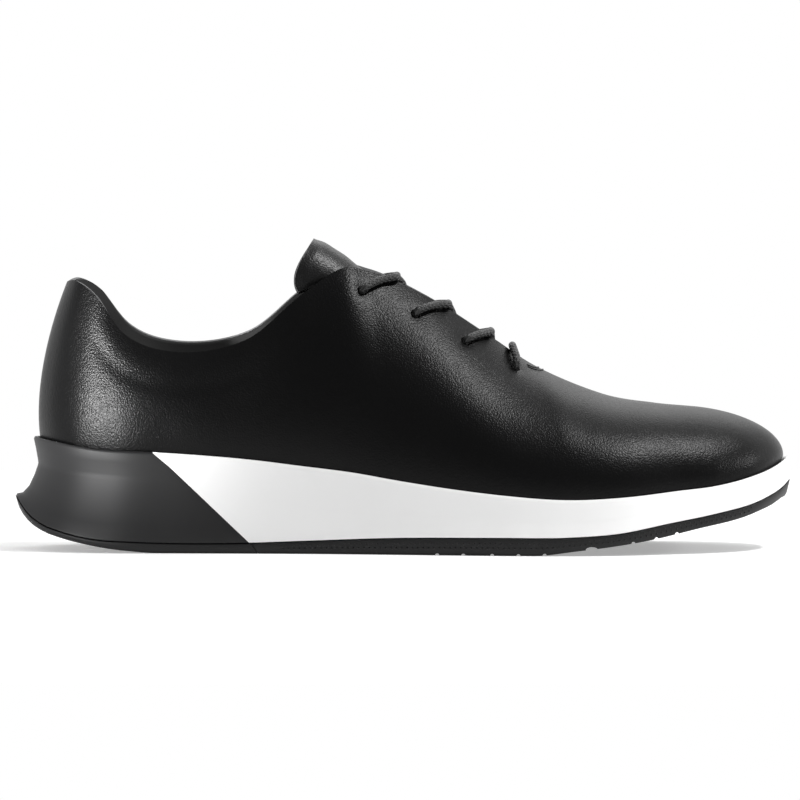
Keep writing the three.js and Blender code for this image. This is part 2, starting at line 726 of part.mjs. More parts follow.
// A point of the tongue's section, as how far it is out to the side and down from the crest.
function tongueSection(at, across) {
  const arc = tongueRadius(at) * tongueAngle(at);
  const reach = Math.abs(across) * (arc + tongueSkirt(at));
  const turn = Math.min(reach, arc) / tongueRadius(at);
  const hang = Math.max(reach - arc, 0);
  return {
    aside: Math.sign(across) * (tongueRadius(at) * Math.sin(turn) + hang * Math.cos(turn)),
    down: tongueRadius(at) * (1 - Math.cos(turn)) + hang * Math.sin(turn),
  };
}

function buildTongueSkin() {
  const skin = new Skin();
  const index = [];
  for (let i = 0; i <= tongueStepsLong; i += 1) {
    const at = i / 2;
    const { point, normal } = tongueCrest(at);
    index.push([]);
    for (let j = 0; j <= tongueStepsAcross; j += 1) {
      const { aside, down } = tongueSection(at, 2 * j / tongueStepsAcross - 1);
      const arched = point.clone().addScaledVector(normal, -down);
      arched.y = aside;
      index[i].push(skin.add(arched, { i, j }));
    }
    if (i === 0) continue;
    for (let j = 0; j < tongueStepsAcross; j += 1) {
      skin.quads.push([index[i - 1][j], index[i - 1][j + 1], index[i][j + 1], index[i][j]]);
    }
  }
  return skin.finish();
}

const tongue = buildTongueSkin();
const foamDepth = tongueLeatherThickness + clearance;
const tongueLiningDepth = foamDepth + tongueFoamThickness + clearance;
const inFoam = ({ i, j }) => i > 1 && i < tongueStepsLong && j > 0 && j < tongueStepsAcross;
const everywhere = () => true;
addPart(
  'tongue_leather',
  tongue.layer(everywhere, constant(0), constant(tongueLeatherThickness)),
  black,
  0.4,
);
addPart(
  'tongue_foam',
  tongue.layer(inFoam, constant(foamDepth), constant(foamDepth + tongueFoamThickness)),
  0xd8c98a,
  0.95,
);
addPart(
  'tongue_lining',
  tongue.layer(everywhere, constant(tongueLiningDepth), constant(tongueLiningDepth + tongueLiningThickness)),
  0x161616,
  0.75,
);

// ---------------------------------------------------------------- lace

const laceRadius = laceDiameter / 2;
const overLeather = laceRadius + clearance;
const underFacing = -(facingStack + 2 * clearance + laceRadius);

// A tube along a cord's chosen points, with one step from each point to the next.
class CordPath extends THREE.CatmullRomCurve3 {
  getUtoTmapping(u) {
    return u;
  }
}

function tube(points, diameter) {
  const sides = 8;
  const section = new THREE.Shape();
  for (let i = 0; i < sides; i += 1) {
    const turn = 2 * Math.PI * i / sides;
    const corner = [diameter / 2 * Math.cos(turn), diameter / 2 * Math.sin(turn)];
    if (i === 0) section.moveTo(...corner);
    else section.lineTo(...corner);
  }
  const path = new CordPath(points, false, 'centripetal');
  const steps = points.length - 1;
  return new THREE.ExtrudeGeometry(section, { steps, extrudePath: path, bevelEnabled: false });
}

const lifted = ({ point, normal }, lift) => point.clone().addScaledVector(normal, lift);

// The strand between an eyelet and the edge of its facing, above or under the leather. It reaches the
// edge a share of the way to a neighbouring eyelet.
const outsideReach = [0.75, 0.75, 0.55];
const insideReach = [0.2, 0.2, 0.4];
function strand(eyelet, neighbour, reach, lift) {
  const edgeStation = THREE.MathUtils.lerp(eyelet.station, neighbour.station, reach);
  return [0.3, 0.65, 1].map((share) => {
    const station = THREE.MathUtils.lerp(eyelet.station, edgeStation, share);
    return lifted(onLeather(eyelet.side, station, THREE.MathUtils.lerp(eyelet.share, 1, share)), lift);
  });
}

// The short run through an eyelet, from outside to inside.
const throughLifts = [1, -1.8, -4.4];
const throughEyelet = (eyelet) => throughLifts.map((lift) => lifted(eyelet, lift));

// Two strands cross over the tongue, most of the way to the next row. The strand that comes over the
// lateral facing lies above.
const crossingReach = [0.6, 0.6, 0.35];
const crossingShare = 0.3;
function crossing(row, isUpper) {
  const rowX = [row, row + 1].map((i) => eyelets.lateral[i].point.x);
  const x = THREE.MathUtils.lerp(...rowX, crossingReach[row]);
  let at = 0;
  while (tongueX(at) > x) at += 0.02;
  const crest = tongueCrest(at);
  const lift = laceRadius + 2 * clearance + (isUpper ? laceDiameter + clearance : 0);
  const point = lifted(crest, lift);
  point.y = -topGap(eyelets.lateral[row].station) * crossingShare;
  return point;
}

// One strand from outside an eyelet to inside the eyelet of the next row on the other side.
const edgeOverhang = 0.8 * laceDiameter;
function crossOver(side, row) {
  const other = side === 'lateral' ? 'medial' : 'lateral';
  const from = eyelets[side][row];
  const to = eyelets[other][row + 1];
  const outside = strand(from, eyelets[side][row + 1], outsideReach[row], overLeather);
  const inside = strand(to, eyelets[other][row], insideReach[row], underFacing);
  const pastEdge = outside[outside.length - 1].clone();
  pastEdge.y -= Math.sign(pastEdge.y) * edgeOverhang;
  return [...throughEyelet(from).reverse(), ...outside, pastEdge, crossing(row, side === 'lateral'),
    ...inside.reverse(), ...throughEyelet(to).reverse()];
}

// The bar of lace across the front of the throat, outside the leather.
function acrossFront() {
  const [lateral, medial] = eyeletSides.map((side) => {
    const eyelet = eyelets[side][eyeletTops.length - 1];
    return [0.3, 0.6, 0.9].map((share) => {
      const frame = onLeather(side, eyelet.station, THREE.MathUtils.lerp(eyelet.share, 1, share));
      return lifted(frame, overLeather + clearance);
    });
  });
  return [...medial, ...lateral.reverse()];
}

function lacedRoute() {
  const first = [crossOver('lateral', 0), crossOver('medial', 1), crossOver('lateral', 2)];
  const second = [crossOver('medial', 0), crossOver('lateral', 1), crossOver('medial', 2)];
  const shared = throughLifts.length;
  const join = (runs) => runs.flatMap((run, i) => (i < runs.length - 1 ? run.slice(0, -shared) : run));
  return [...join(first), ...acrossFront(), ...join(second).reverse()];
}

const route = lacedRoute();
addPart('lace', tube(route, laceDiameter), 0x0c0c0c, 0.6);

// Each tail leaves its top eyelet inside the shoe, hangs down beside the tongue and lies back along the
// footbed. These are the points of the lateral tail; the medial one has its own y at each point.
const tailPoints = [
  [-19, -18.6, 18.2, 93], [-19.8, -19.6, 19, 89], [-20.4, -20.8, 19.6, 83], [-20.8, -22, 20, 76],
  [-21, -23, 20, 69], [-21.2, -23.6, 19.6, 62], [-21.4, -24, 19, 55], [-22, -24.2, 18.4, 48],
  [-23.6, -24.2, 18, 42], [-26.8, -24, 17.6, 37.2], [-31.6, -23.6, 17.2, 34.7], [-38, -23, 16.8, 34.3],
  [-46, -22.4, 16.6, 34.7], [-54, -21.8, 16.6, 35], [-62, -21.2, 16.8, 35.3], [-70, -20.6, 17, 35.6],
  [-78, -20, 17, 35.9], [-86, -19.2, 16.8, 36.2], [-94, -18.2, 16.2, 36.4],
];
for (const side of eyeletSides) {
  const [end, beforeEnd] = side === 'lateral' ? route : route.slice(-2).reverse();
  const inward = end.clone().sub(beforeEnd).normalize();
  const points = [clearance, laceRadius].map((gap) => end.clone().addScaledVector(inward, gap));
  for (const [x, lateralY, medialY, z] of tailPoints) {
    points.push(new THREE.Vector3(x, side === 'lateral' ? lateralY : medialY, z));
  }
  addPart(`lace_tail_${side}`, tube(points, laceDiameter), 0x0c0c0c, 0.6);

  const tip = points[points.length - 1];
  const run = tip.clone().sub(points[points.length - 2]).normalize();
  const aglet = new THREE.CylinderGeometry(agletDiameter / 2, agletDiameter / 2, agletLength, 12);
  aglet.applyQuaternion(new THREE.Quaternion().setFromUnitVectors(new THREE.Vector3(0, 1, 0), run));
  const middle = tip.clone().addScaledVector(run, agletLength / 2 + clearance);
  aglet.translate(middle.x, middle.y, middle.z);
  addPart(`aglet_${side}`, aglet, 0x1a1a1a, 0.3);
}

// The origin is under the middle of the shoe, on the surface that it stands on.
const extent = new THREE.Box3().setFromObject(shoe);
const middle = extent.getCenter(new THREE.Vector3());
shoe.position.set(-middle.x, -middle.y, -extent.min.z);

export default shoe;
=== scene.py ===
"""A laced golf shoe for the right foot: the finished look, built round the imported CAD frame.

The upper, the linings, the tongue and the sole are drawn from the same curves as the part, with enough
points for smooth leather and moulded foam. Drawing units are millimetres, +X to the toe, +Z up.
"""

import math

import bpy
import numpy as np
from mathutils import Matrix, Vector


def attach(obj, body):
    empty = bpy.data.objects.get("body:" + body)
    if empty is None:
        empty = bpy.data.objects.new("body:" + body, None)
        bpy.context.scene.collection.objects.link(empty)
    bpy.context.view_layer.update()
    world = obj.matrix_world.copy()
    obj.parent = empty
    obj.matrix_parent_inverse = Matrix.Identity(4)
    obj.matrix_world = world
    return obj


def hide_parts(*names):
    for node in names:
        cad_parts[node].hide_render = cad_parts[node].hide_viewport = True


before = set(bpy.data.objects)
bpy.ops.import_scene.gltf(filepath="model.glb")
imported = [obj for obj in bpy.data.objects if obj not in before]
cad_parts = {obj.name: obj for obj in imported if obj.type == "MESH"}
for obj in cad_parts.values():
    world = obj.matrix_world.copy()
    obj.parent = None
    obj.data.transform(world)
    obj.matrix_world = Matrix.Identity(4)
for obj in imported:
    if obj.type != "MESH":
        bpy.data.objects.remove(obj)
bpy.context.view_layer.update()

MM = 0.001
FRAME_SHIFT = np.array([0, 0.8334, 0])

# ---------------------------------------------------------------- camera, floor and light

VIEW_MIDDLE = Vector((-0.0012, 0, 0.0578))
VIEW_ELEVATION = math.radians(2)
VIEW_DISTANCE = 2.4
VIEW_SPAN = 0.312


def add_camera():
    data = bpy.data.cameras.new("camera")
    data.lens = data.sensor_width * VIEW_DISTANCE / VIEW_SPAN
    data.clip_end = 50
    camera = bpy.data.objects.new("camera", data)
    back = Vector((0, -math.cos(VIEW_ELEVATION), math.sin(VIEW_ELEVATION)))
    camera.location = VIEW_MIDDLE + back * VIEW_DISTANCE
    camera.rotation_euler = (math.pi / 2 - VIEW_ELEVATION, 0, 0)
    bpy.context.collection.objects.link(camera)
    bpy.context.scene.camera = camera


def add_softbox(name, place, aim, width, depth, watts, spread=180):
    data = bpy.data.lights.new(name, "AREA")
    data.shape = "RECTANGLE"
    data.size = width
    data.size_y = depth
    data.energy = watts
    data.spread = math.radians(spread)
    light = bpy.data.objects.new(name, data)
    light.location = place
    light.rotation_euler = (Vector(aim) - Vector(place)).to_track_quat("-Z", "Y").to_euler()
    bpy.context.collection.objects.link(light)


def add_room():
    """A pale room: bright on the far side of the shoe, and dim on the near side."""
    world = bpy.data.worlds.new("room")
    bpy.context.scene.world = world
    world.use_nodes = True
    nodes, links = world.node_tree.nodes, world.node_tree.links
    ground = nodes["Background"]
    place = nodes.new("ShaderNodeTexCoord")
    split = nodes.new("ShaderNodeSeparateXYZ")
    ramp = nodes.new("ShaderNodeMapRange")
    ramp.interpolation_type = "SMOOTHSTEP"
    ramp.inputs["From Min"].default_value = -0.35
    ramp.inputs["From Max"].default_value = 0.55
    ramp.inputs["To Min"].default_value = 0.3
    ramp.inputs["To Max"].default_value = 1.0
    links.new(place.outputs["Generated"], split.inputs[0])
    links.new(split.outputs["Y"], ramp.inputs["Value"])
    links.new(ramp.outputs[0], ground.inputs["Color"])


def add_floor():
    bpy.ops.mesh.primitive_plane_add(size=1.3)
    floor = bpy.context.object
    floor.name = "floor"
    material = bpy.data.materials.new("floor")
    material.use_nodes = True
    shader = material.node_tree.nodes["Principled BSDF"]
    shader.inputs["Base Color"].default_value = (0.85, 0.85, 0.85, 1)
    shader.inputs["Roughness"].default_value = 0.9
    shader.inputs["Emission Color"].default_value = (1, 1, 1, 1)
    shader.inputs["Emission Strength"].default_value = 0.35
    floor.data.materials.append(material)


bpy.context.scene.view_settings.view_transform = "Standard"
add_camera()
add_room()
add_floor()
add_softbox("overhead", (0.5, -0.14, 0.88), (0.06, 0, 0.05), 0.13, 0.1, 6.5)
add_softbox("heel_side", (-0.8, -0.82, 0.16), (-0.13, 0, 0.08), 0.07, 0.1, 0.12, spread=7)
add_softbox("toe_side", (1.0, -0.05, 0.42), (0.14, 0, 0.04), 0.12, 0.12, 2)
add_softbox("far_side", (0.2, 1.1, 0.9), (0, 0, 0.05), 0.8, 0.5, 1.6)

# ---------------------------------------------------------------- curves of the part


def smooth(knots, values, before, after):
    """A cubic through every knot, level where its neighbours are level."""
    knots, values = np.asarray(knots, float), np.asarray(values, float)
    step_in = np.diff(knots, prepend=2 * knots[0] - knots[1])
    step_out = np.diff(knots, append=2 * knots[-1] - knots[-2])
    rise_in = np.diff(values, prepend=before) / step_in
    rise_out = np.diff(values, append=after) / step_out
    slopes = (rise_in * step_out + rise_out * step_in) / (step_in + step_out)
    slopes[rise_in * rise_out == 0] = 0

    def curve(at):
        at = np.asarray(at, float)
        i = np.clip(np.searchsorted(knots, at) - 1, 0, len(knots) - 2)
        step = knots[i + 1] - knots[i]
        t = np.clip((at - knots[i]) / step, 0, 1)
        u = 1 - t
        near = values[i] * u * u * (1 + 2 * t) + slopes[i] * step * t * u * u
        far = values[i + 1] * t * t * (1 + 2 * u) - slopes[i + 1] * step * t * t * u
        return near + far

    return curve


def along(points):
    knots, values = zip(*points)
    return smooth(knots, values, 2 * values[0] - values[1], 2 * values[-1] - values[-2])


rim_height = along([
    (-144, 43.9), (-118, 40), (-95, 38.8), (-58, 36), (-39, 33.7), (-20, 31.4), (-1.6, 28.3), (17, 25.5),
    (36, 23.2), (64, 21.3), (87, 22.4), (106, 24.4), (120, 25.9), (134, 29), (143.5, 32.2), (151, 36),
])
crease_height = along([
    (-144, 34), (-139, 32), (-126, 30.4), (-99, 28.3), (-82, 26.3), (-55, 23.2), (-40, 19.7), (-2, 16.8),
    (35, 14), (60, 13.2), (74, 13.5), (95, 16.6), (116, 19.7), (127, 22), (147, 28.3), (151, 30),
])
outsole_top = along([
    (-151.3, 21.5), (-146, 15), (-140, 10.8), (-133, 8.4), (-126, 6.6), (-118, 5.3), (-106, 4.6),
    (-60, 4.3), (-39, 5.1), (-2, 6.6), (36, 7), (64, 7.2), (83, 8.6), (101, 11.9), (120, 15.4),
    (139, 20.3), (148, 24.8), (151.3, 27.3),
])
outsole_bottom = along([
    (-151.3, 20), (-150, 17), (-146, 11.9), (-140, 8), (-133, 5.6), (-126, 3.9), (-119, 2.5), (-112, 1.4),
    (-105, 0.7), (-95, 0), (50, 0), (66, 1.7), (80, 3.4), (96, 5.9), (112, 9.4), (136.5, 15.3),
    (146.5, 19.8), (150.5, 23.3), (151.3, 26.3),
])
seat_height = along([
    (-141, 26), (-118, 25), (-80, 24), (-40, 22), (0, 18.5), (40, 15.5), (70, 15.2), (100, 18), (120, 21),
    (147, 27.5),
])
crease_flare = along([(-144, -1.7), (-126, -1.2), (-99, -0.3), (-80, 0.2), (60, 0.6), (151, 0)])
outsole_flare = along([
    (-144, 7.3), (-130, 6), (-112, 4), (-99, 3), (-60, 2.2), (60, 2), (120, 1.2), (151, 0.3),
])

# One rib of the last for each row, heel to toe: the rim's x, lateral y and medial y; the top's x, half gap
# and z; how much higher the medial top is; the middle's y; and how far the two handles reach.
RIBS = np.array([
    (-144, 0, 0, -131, 0, 104, 0, 0, 2.1, 17.5, 8, 20),
    (-139.5, -13, 12.5, -127, 11, 104.5, 1, 0, 2, 17, 7, 19),
    (-129, -24.5, 24, -119, 18.5, 99, 2, 0, 2, 15, 6, 16),
    (-112.5, -31.8, 31, -108, 24, 84.5, 3, 0, 2, 14, 5, 12),
    (-88, -35, 33, -88, 27, 77.3, 3, 0, 2.5, 13, 4.5, 11),
    (-60, -37, 32, -61, 27, 81.8, 2.5, 0, 2.5, 14, 6, 13),
    (-31, -40, 32.5, -37, 23.5, 101, 2, 0, 2.5, 20, 11, 20),
    (-18, -42, 33.8, -24, 18, 109.3, 1, 0, 2, 23, 15, 18),
    (-4, -44.8, 36, -14, 13.5, 108.5, 0.5, 0, 2, 26, 16, 19),
    (22, -49.7, 42.5, 10, 9, 98, 0, 0, 1.5, 28, 19, 19),
    (45, -53.2, 49.3, 35, 6, 82, 0, 0, 1.5, 25, 21, 16),
    (62, -54, 52.3, 51, 0, 71.5, 0, 0, 1.5, 24, 27, 7),
    (85, -51.6, 51.4, 78, 0, 60.2, 0, 1.5, 1.5, 20, 29, 1),
    (106, -43.2, 47, 98, 0, 56.7, 0, 3, 1.5, 17, 27, 0),
    (124, -35.5, 41, 108, 0, 55.8, 0, 4, 1.5, 13.5, 25, 0),
    (139.5, -23, 31.5, 112, 0, 55.4, 0, 5, 1, 11.5, 22, 0),
    (148, -8.5, 21.5, 112, 0, 55.4, 0, 5, 0.6, 10, 20.5, 0),
    (151, 7, 7, 112, 0, 55.4, 0, 5, 0.3, 9.5, 20, 0),
])
THROAT_RIB, CREST_END_RIB, POLE_RIB = 11, 14, 15
CREST_EASE = 12
CLEARANCE = 0.3
RIM_WALL, CUP_WALL, FEATHER_INSET, LASTING_MARGIN = 2, 5.3, 5.6, 10
LEATHER = 1.4
LINING = 0.8

lateral_steps = np.hypot(np.diff(RIBS[:, 0]), np.diff(RIBS[:, 1]))
medial_steps = np.hypot(np.diff(RIBS[:, 0]), np.diff(RIBS[:, 2]))
STATIONS = np.concatenate([[0], np.cumsum((lateral_steps + medial_steps) / 2)])
TOE = STATIONS[-1]


def rib_curve(column, partner=None, mirrored=1):
    values = RIBS[:, column]
    other = RIBS[:, column if partner is None else partner] * mirrored
    return smooth(STATIONS, values, other[1], other[-2])


rim_x = rib_curve(0)
rim_y = {"lateral": rib_curve(1, 2), "medial": rib_curve(2, 1)}
top_x, top_gap, top_z = rib_curve(3), rib_curve(4, 4, -1), rib_curve(5)
top_raise, top_ridge = rib_curve(6), rib_curve(7)
belly_out, belly_up, shoulder_out, shoulder_down = (rib_curve(c) for c in (8, 9, 10, 11))
OTHER_SIDE = {"lateral": "medial", "medial": "lateral"}
SIDES = ("lateral", "medial")


def side_point(side, station):
    return np.stack([rim_x(station), rim_y[side](station)], -1)


def outward(side, station):
    """The level direction out of the sole's edge."""
    step = 0.5
    other = OTHER_SIDE[side]
    ahead, behind = station + step, station - step
    front = np.where((ahead > TOE)[..., None], side_point(other, 2 * TOE - ahead), side_point(side, ahead))
    back = np.where((behind < 0)[..., None], side_point(other, -behind), side_point(side, behind))
    run = front - back
    run /= np.linalg.norm(run, axis=-1, keepdims=True)
    sign = 1 if side == "lateral" else -1
    return np.stack([sign * run[..., 1], -sign * run[..., 0]], -1)


def edge_point(side, station, offset, height_line, lift=0):
    station = np.asarray(station, float)
    flat = side_point(side, station) + outward(side, station) * np.asarray(offset)[..., None]
    return np.concatenate([flat, (height_line(flat[..., 0]) + lift)[..., None]], -1)


def rib_handles(side, station):
    """The four points of the rib's cubic, from the rim to its top."""
    station = np.asarray(station, float)
    foot = edge_point(side, station, np.full(station.shape, -(RIM_WALL + CLEARANCE)), rim_height)
    foot[..., 2] = rim_height(rim_x(station))
    sign = -1 if side == "lateral" else 1
    rise = top_raise(station) if side == "medial" else 0
    top = np.stack([top_x(station), top_ridge(station) + sign * top_gap(station), top_z(station) + rise], -1)
    out = outward(side, station)
    belly = foot.copy()
    belly[..., :2] += out * belly_out(station)[..., None]
    belly[..., 2] += belly_up(station)
    to_rim = foot[..., :2] - top[..., :2]
    to_rim *= (shoulder_out(station) / np.linalg.norm(to_rim, axis=-1))[..., None]
    at = np.minimum(station, STATIONS[CREST_END_RIB] - 2)
    slope = (top_z(at + 2) - top_z(at - 2)) / (top_x(at + 2) - top_x(at - 2))
    past = np.clip((station - STATIONS[THROAT_RIB]) / CREST_EASE, 0, 1)
    fall = past * past * (3 - 2 * past) * slope * to_rim[..., 0]
    shoulder = top.copy()
    shoulder[..., :2] += to_rim
    shoulder[..., 2] += fall - shoulder_down(station)
    return foot, belly, shoulder, top


def rib_points(side, station, t):
    foot, belly, shoulder, top = rib_handles(side, station)
    t = np.asarray(t, float)[..., None]
    u = 1 - t
    return foot * u**3 + belly * 3 * u * u * t + shoulder * 3 * u * t * t + top * t**3


# ---------------------------------------------------------------- meshes


def mesh_piece(name, points, faces, materials, body="shoe", sharp=50, face_materials=None, uv=None):
    """A finished piece: its place in its mesh, its faces smooth but for the edges sharper than an angle."""
    mesh = bpy.data.meshes.new(name)
    mesh.from_pydata(((np.asarray(points) + FRAME_SHIFT) * MM).tolist(), [], faces)
    for material in materials:
        mesh.materials.append(material)
    if face_materials is not None:
        mesh.polygons.foreach_set("material_index", face_materials)
    mesh.polygons.foreach_set("use_smooth", [True] * len(mesh.polygons))
    if uv is not None:
        layer = mesh.uv_layers.new(name="UVMap")
        corners = np.empty(len(mesh.loops), int)
        mesh.loops.foreach_get("vertex_index", corners)
        layer.data.foreach_set("uv", np.asarray(uv, float)[corners].ravel())
    mesh.validate()
    mesh.update()
    mesh.set_sharp_from_angle(angle=math.radians(sharp))
    piece = bpy.data.objects.new(name, mesh)
    bpy.context.collection.objects.link(piece)
    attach(piece, body)
    return piece


def closed_quads(quads):
    """The quads as faces, with a corner that is named twice kept once."""
    return [list(dict.fromkeys(quad)) for quad in quads if len(set(quad)) > 2]


class Skin:
    """A sheet of quads over shared points, with a normal and labels at each point."""

    def __init__(self, points, quads, **labels):
        self.points, self.quads, self.labels = points, quads, labels
        self.find_normals()

    def find_normals(self):
        a, b, c, d = (self.points[self.quads[:, k]] for k in range(4))
        across = np.cross(c - a, d - b)
        normals = np.zeros_like(self.points)
        for k in range(4):
            np.add.at(normals, self.quads[:, k], across)
        self.normals = normals / np.linalg.norm(normals, axis=1, keepdims=True)

    def layer(self, keep, outer, inner):
        """The solid between two depths, over the quads that are kept. Edge faces come last."""
        quads = self.quads[keep]
        used = np.unique(quads)
        place = np.full(len(self.points), -1)
        place[used] = np.arange(len(used))
        quads = place[quads]
        points = np.vstack([
            self.points[used] - self.normals[used] * outer[used][:, None],
            self.points[used] - self.normals[used] * inner[used][:, None],
        ])
        count = len(used)
        edges = {}
        for quad in quads.tolist():
            for start, end in zip(quad, quad[1:] + quad[:1]):
                if start != end and edges.pop((end, start), None) is None:
                    edges[(start, end)] = True
        skin_faces = closed_quads(quads.tolist()) + closed_quads((quads[:, ::-1] + count).tolist())
        edge_faces = [[s, s + count, e + count, e] for s, e in edges]
        return points, skin_faces, edge_faces


# ---------------------------------------------------------------- materials


def node_group(name, inputs, outputs):
    """An empty shader group with number inputs and outputs."""
    group = bpy.data.node_groups.new(name, "ShaderNodeTree")
    for label, kind, value in inputs:
        socket = group.interface.new_socket(label, in_out="INPUT", socket_type=kind)
        if value is not None:
            socket.default_value = value
    for label in outputs:
        group.interface.new_socket(label, in_out="OUTPUT", socket_type="NodeSocketFloat")
    group.nodes.new("NodeGroupInput").name = "in"
    group.nodes.new("NodeGroupOutput").name = "out"
    return group


def math_node(tree, operation, a, b=None, c=None):
    node = tree.nodes.new("ShaderNodeMath")
    node.operation = operation
    for socket, value in zip(node.inputs, (a, b, c)):
        if value is None:
            continue
        if isinstance(value, bpy.types.NodeSocket):
            tree.links.new(value, socket)
        else:
            socket.default_value = value
    return node.outputs[0]


def make_grain_group():
    """Leather grain: soft pebbles of one size, broken up by finer wrinkles."""
    group = node_group(
        "leather_grain",
        [
            ("Place", "NodeSocketVector", None),
            ("Pebbles", "NodeSocketFloat", 1300),
            ("Wrinkles", "NodeSocketFloat", 0.5),
        ],
        ["Height", "Patches"],
    )
    given, out = group.nodes["in"], group.nodes["out"]
    links = group.links
    bend = group.nodes.new("ShaderNodeTexNoise")
    bend.inputs["Scale"].default_value = 420
    bend.inputs["Detail"].default_value = 3
    links.new(given.outputs["Place"], bend.inputs["Vector"])
    shift = group.nodes.new("ShaderNodeVectorMath")
    shift.operation = "MULTIPLY_ADD"
    shift.inputs[1].default_value = (0.0009, 0.0009, 0.0009)
    links.new(bend.outputs["Color"], shift.inputs[0])
    links.new(given.outputs["Place"], shift.inputs[2])
    pebbles = group.nodes.new("ShaderNodeTexVoronoi")
    pebbles.feature = "SMOOTH_F1"
    pebbles.inputs["Smoothness"].default_value = 0.6
    links.new(shift.outputs[0], pebbles.inputs["Vector"])
    links.new(given.outputs["Pebbles"], pebbles.inputs["Scale"])
    fine = group.nodes.new("ShaderNodeTexNoise")
    fine.inputs["Scale"].default_value = 2600
    fine.inputs["Detail"].default_value = 2
    links.new(given.outputs["Place"], fine.inputs["Vector"])
    pebble_height = math_node(group, "SUBTRACT", 1.0, pebbles.outputs["Distance"])
    wrinkle = math_node(group, "MULTIPLY", fine.outputs["Fac"], given.outputs["Wrinkles"])
    links.new(math_node(group, "ADD", pebble_height, wrinkle), out.inputs["Height"])
    patches = group.nodes.new("ShaderNodeTexNoise")
    patches.inputs["Scale"].default_value = 38
    patches.inputs["Detail"].default_value = 3
    links.new(given.outputs["Place"], patches.inputs["Vector"])
    links.new(patches.outputs["Fac"], out.inputs["Patches"])
    return group


def make_moulded_group():
    """The fine texture of a moulded surface, with faint flow marks."""
    group = node_group(
        "moulded_texture",
        [("Place", "NodeSocketVector", None), ("Grit", "NodeSocketFloat", 1800)],
        ["Height", "Patches"],
    )
    given, out = group.nodes["in"], group.nodes["out"]
    grit = group.nodes.new("ShaderNodeTexNoise")
    grit.inputs["Detail"].default_value = 4
    group.links.new(given.outputs["Place"], grit.inputs["Vector"])
    group.links.new(given.outputs["Grit"], grit.inputs["Scale"])
    flow = group.nodes.new("ShaderNodeTexNoise")
    flow.inputs["Scale"].default_value = 24
    flow.inputs["Detail"].default_value = 5
    group.links.new(given.outputs["Place"], flow.inputs["Vector"])
    group.links.new(grit.outputs["Fac"], out.inputs["Height"])
    group.links.new(flow.outputs["Fac"], out.inputs["Patches"])
    return group


def make_fibre_group():
    """Short pressed fibres, for felt, board and open foam."""
    group = node_group(
        "pressed_fibres",
        [("Place", "NodeSocketVector", None), ("Fineness", "NodeSocketFloat", 900)],
        ["Height", "Patches"],
    )
    given, out = group.nodes["in"], group.nodes["out"]
    fibres = group.nodes.new("ShaderNodeTexNoise")
    fibres.inputs["Detail"].default_value = 6
    fibres.inputs["Distortion"].default_value = 1.5
    group.links.new(given.outputs["Place"], fibres.inputs["Vector"])
    group.links.new(given.outputs["Fineness"], fibres.inputs["Scale"])
    cells = group.nodes.new("ShaderNodeTexVoronoi")
    cells.inputs["Scale"].default_value = 500
    group.links.new(given.outputs["Place"], cells.inputs["Vector"])
    group.links.new(fibres.outputs["Fac"], out.inputs["Height"])
    group.links.new(cells.outputs["Distance"], out.inputs["Patches"])
    return group


GRAIN, MOULDED, FIBRES = make_grain_group(), make_moulded_group(), make_fibre_group()


def finish(name, group, color, roughness, sizes=(), bump=0.3, depth=0.0002, vary=0.1, tint=0.15,
           specular=0.5, coat=0, coat_roughness=0.3, metallic=0, sheen=0):
    """A material whose texture, from one of the groups, varies its colour and roughness and bumps it."""
    material = bpy.data.materials.new(name)
    material.use_nodes = True
    tree = material.node_tree
    shader = tree.nodes["Principled BSDF"]
    shader.inputs["Specular IOR Level"].default_value = specular
    shader.inputs["Metallic"].default_value = metallic
    shader.inputs["Coat Weight"].default_value = coat
    shader.inputs["Coat Roughness"].default_value = coat_roughness
    shader.inputs["Sheen Weight"].default_value = sheen
    place = tree.nodes.new("ShaderNodeTexCoord")
    texture = tree.nodes.new("ShaderNodeGroup")
    texture.node_tree = group
    tree.links.new(place.outputs["Object"], texture.inputs["Place"])
    for label, value in sizes:
        texture.inputs[label].default_value = value
    shade = tree.nodes.new("ShaderNodeMix")
    shade.data_type = "RGBA"
    shade.inputs["A"].default_value = (*(c * (1 - tint) for c in color), 1)
    shade.inputs["B"].default_value = (*(c * (1 + tint) for c in color), 1)
    tree.links.new(texture.outputs["Patches"], shade.inputs["Factor"])
    tree.links.new(shade.outputs["Result"], shader.inputs["Base Color"])
    spread = math_node(tree, "MULTIPLY_ADD", texture.outputs["Patches"], vary, roughness - vary / 2)
    tree.links.new(spread, shader.inputs["Roughness"])
    relief = tree.nodes.new("ShaderNodeBump")
    relief.inputs["Strength"].default_value = bump
    relief.inputs["Distance"].default_value = depth
    tree.links.new(texture.outputs["Height"], relief.inputs["Height"])
    tree.links.new(relief.outputs["Normal"], shader.inputs["Normal"])
    return material


upper_leather = finish("upper_leather", GRAIN, (0.0015, 0.0015, 0.0016), 0.33, [("Pebbles", 1700)], bump=0.7,
                       depth=0.00013, vary=0.06, specular=0.15)
tongue_leather = finish("tongue_leather", GRAIN, (0.003, 0.003, 0.0031), 0.36,
                        [("Pebbles", 1500), ("Wrinkles", 0.12)], bump=0.8,
                        depth=0.00012, vary=0.12, specular=0.3)
cut_edge = finish("cut_edge", FIBRES, (0.11, 0.11, 0.112), 0.5, [("Fineness", 1500)], bump=0.2, depth=0.0001)
lining_leather = finish("lining_leather", GRAIN, (0.005, 0.005, 0.005), 0.62, [("Pebbles", 1700)], bump=0.25,
                        depth=0.00015, specular=0.3)
midsole_foam = finish("midsole_foam", MOULDED, (0.93, 0.93, 0.927), 0.62, [("Grit", 2200)], bump=0.15,
                      depth=0.00008, vary=0.08, tint=0.012)
outsole_rubber = finish("outsole_rubber", MOULDED, (0.006, 0.006, 0.0063), 0.5, [("Grit", 1500)], bump=0.3,
                        depth=0.0001, vary=0.12, specular=0.3)
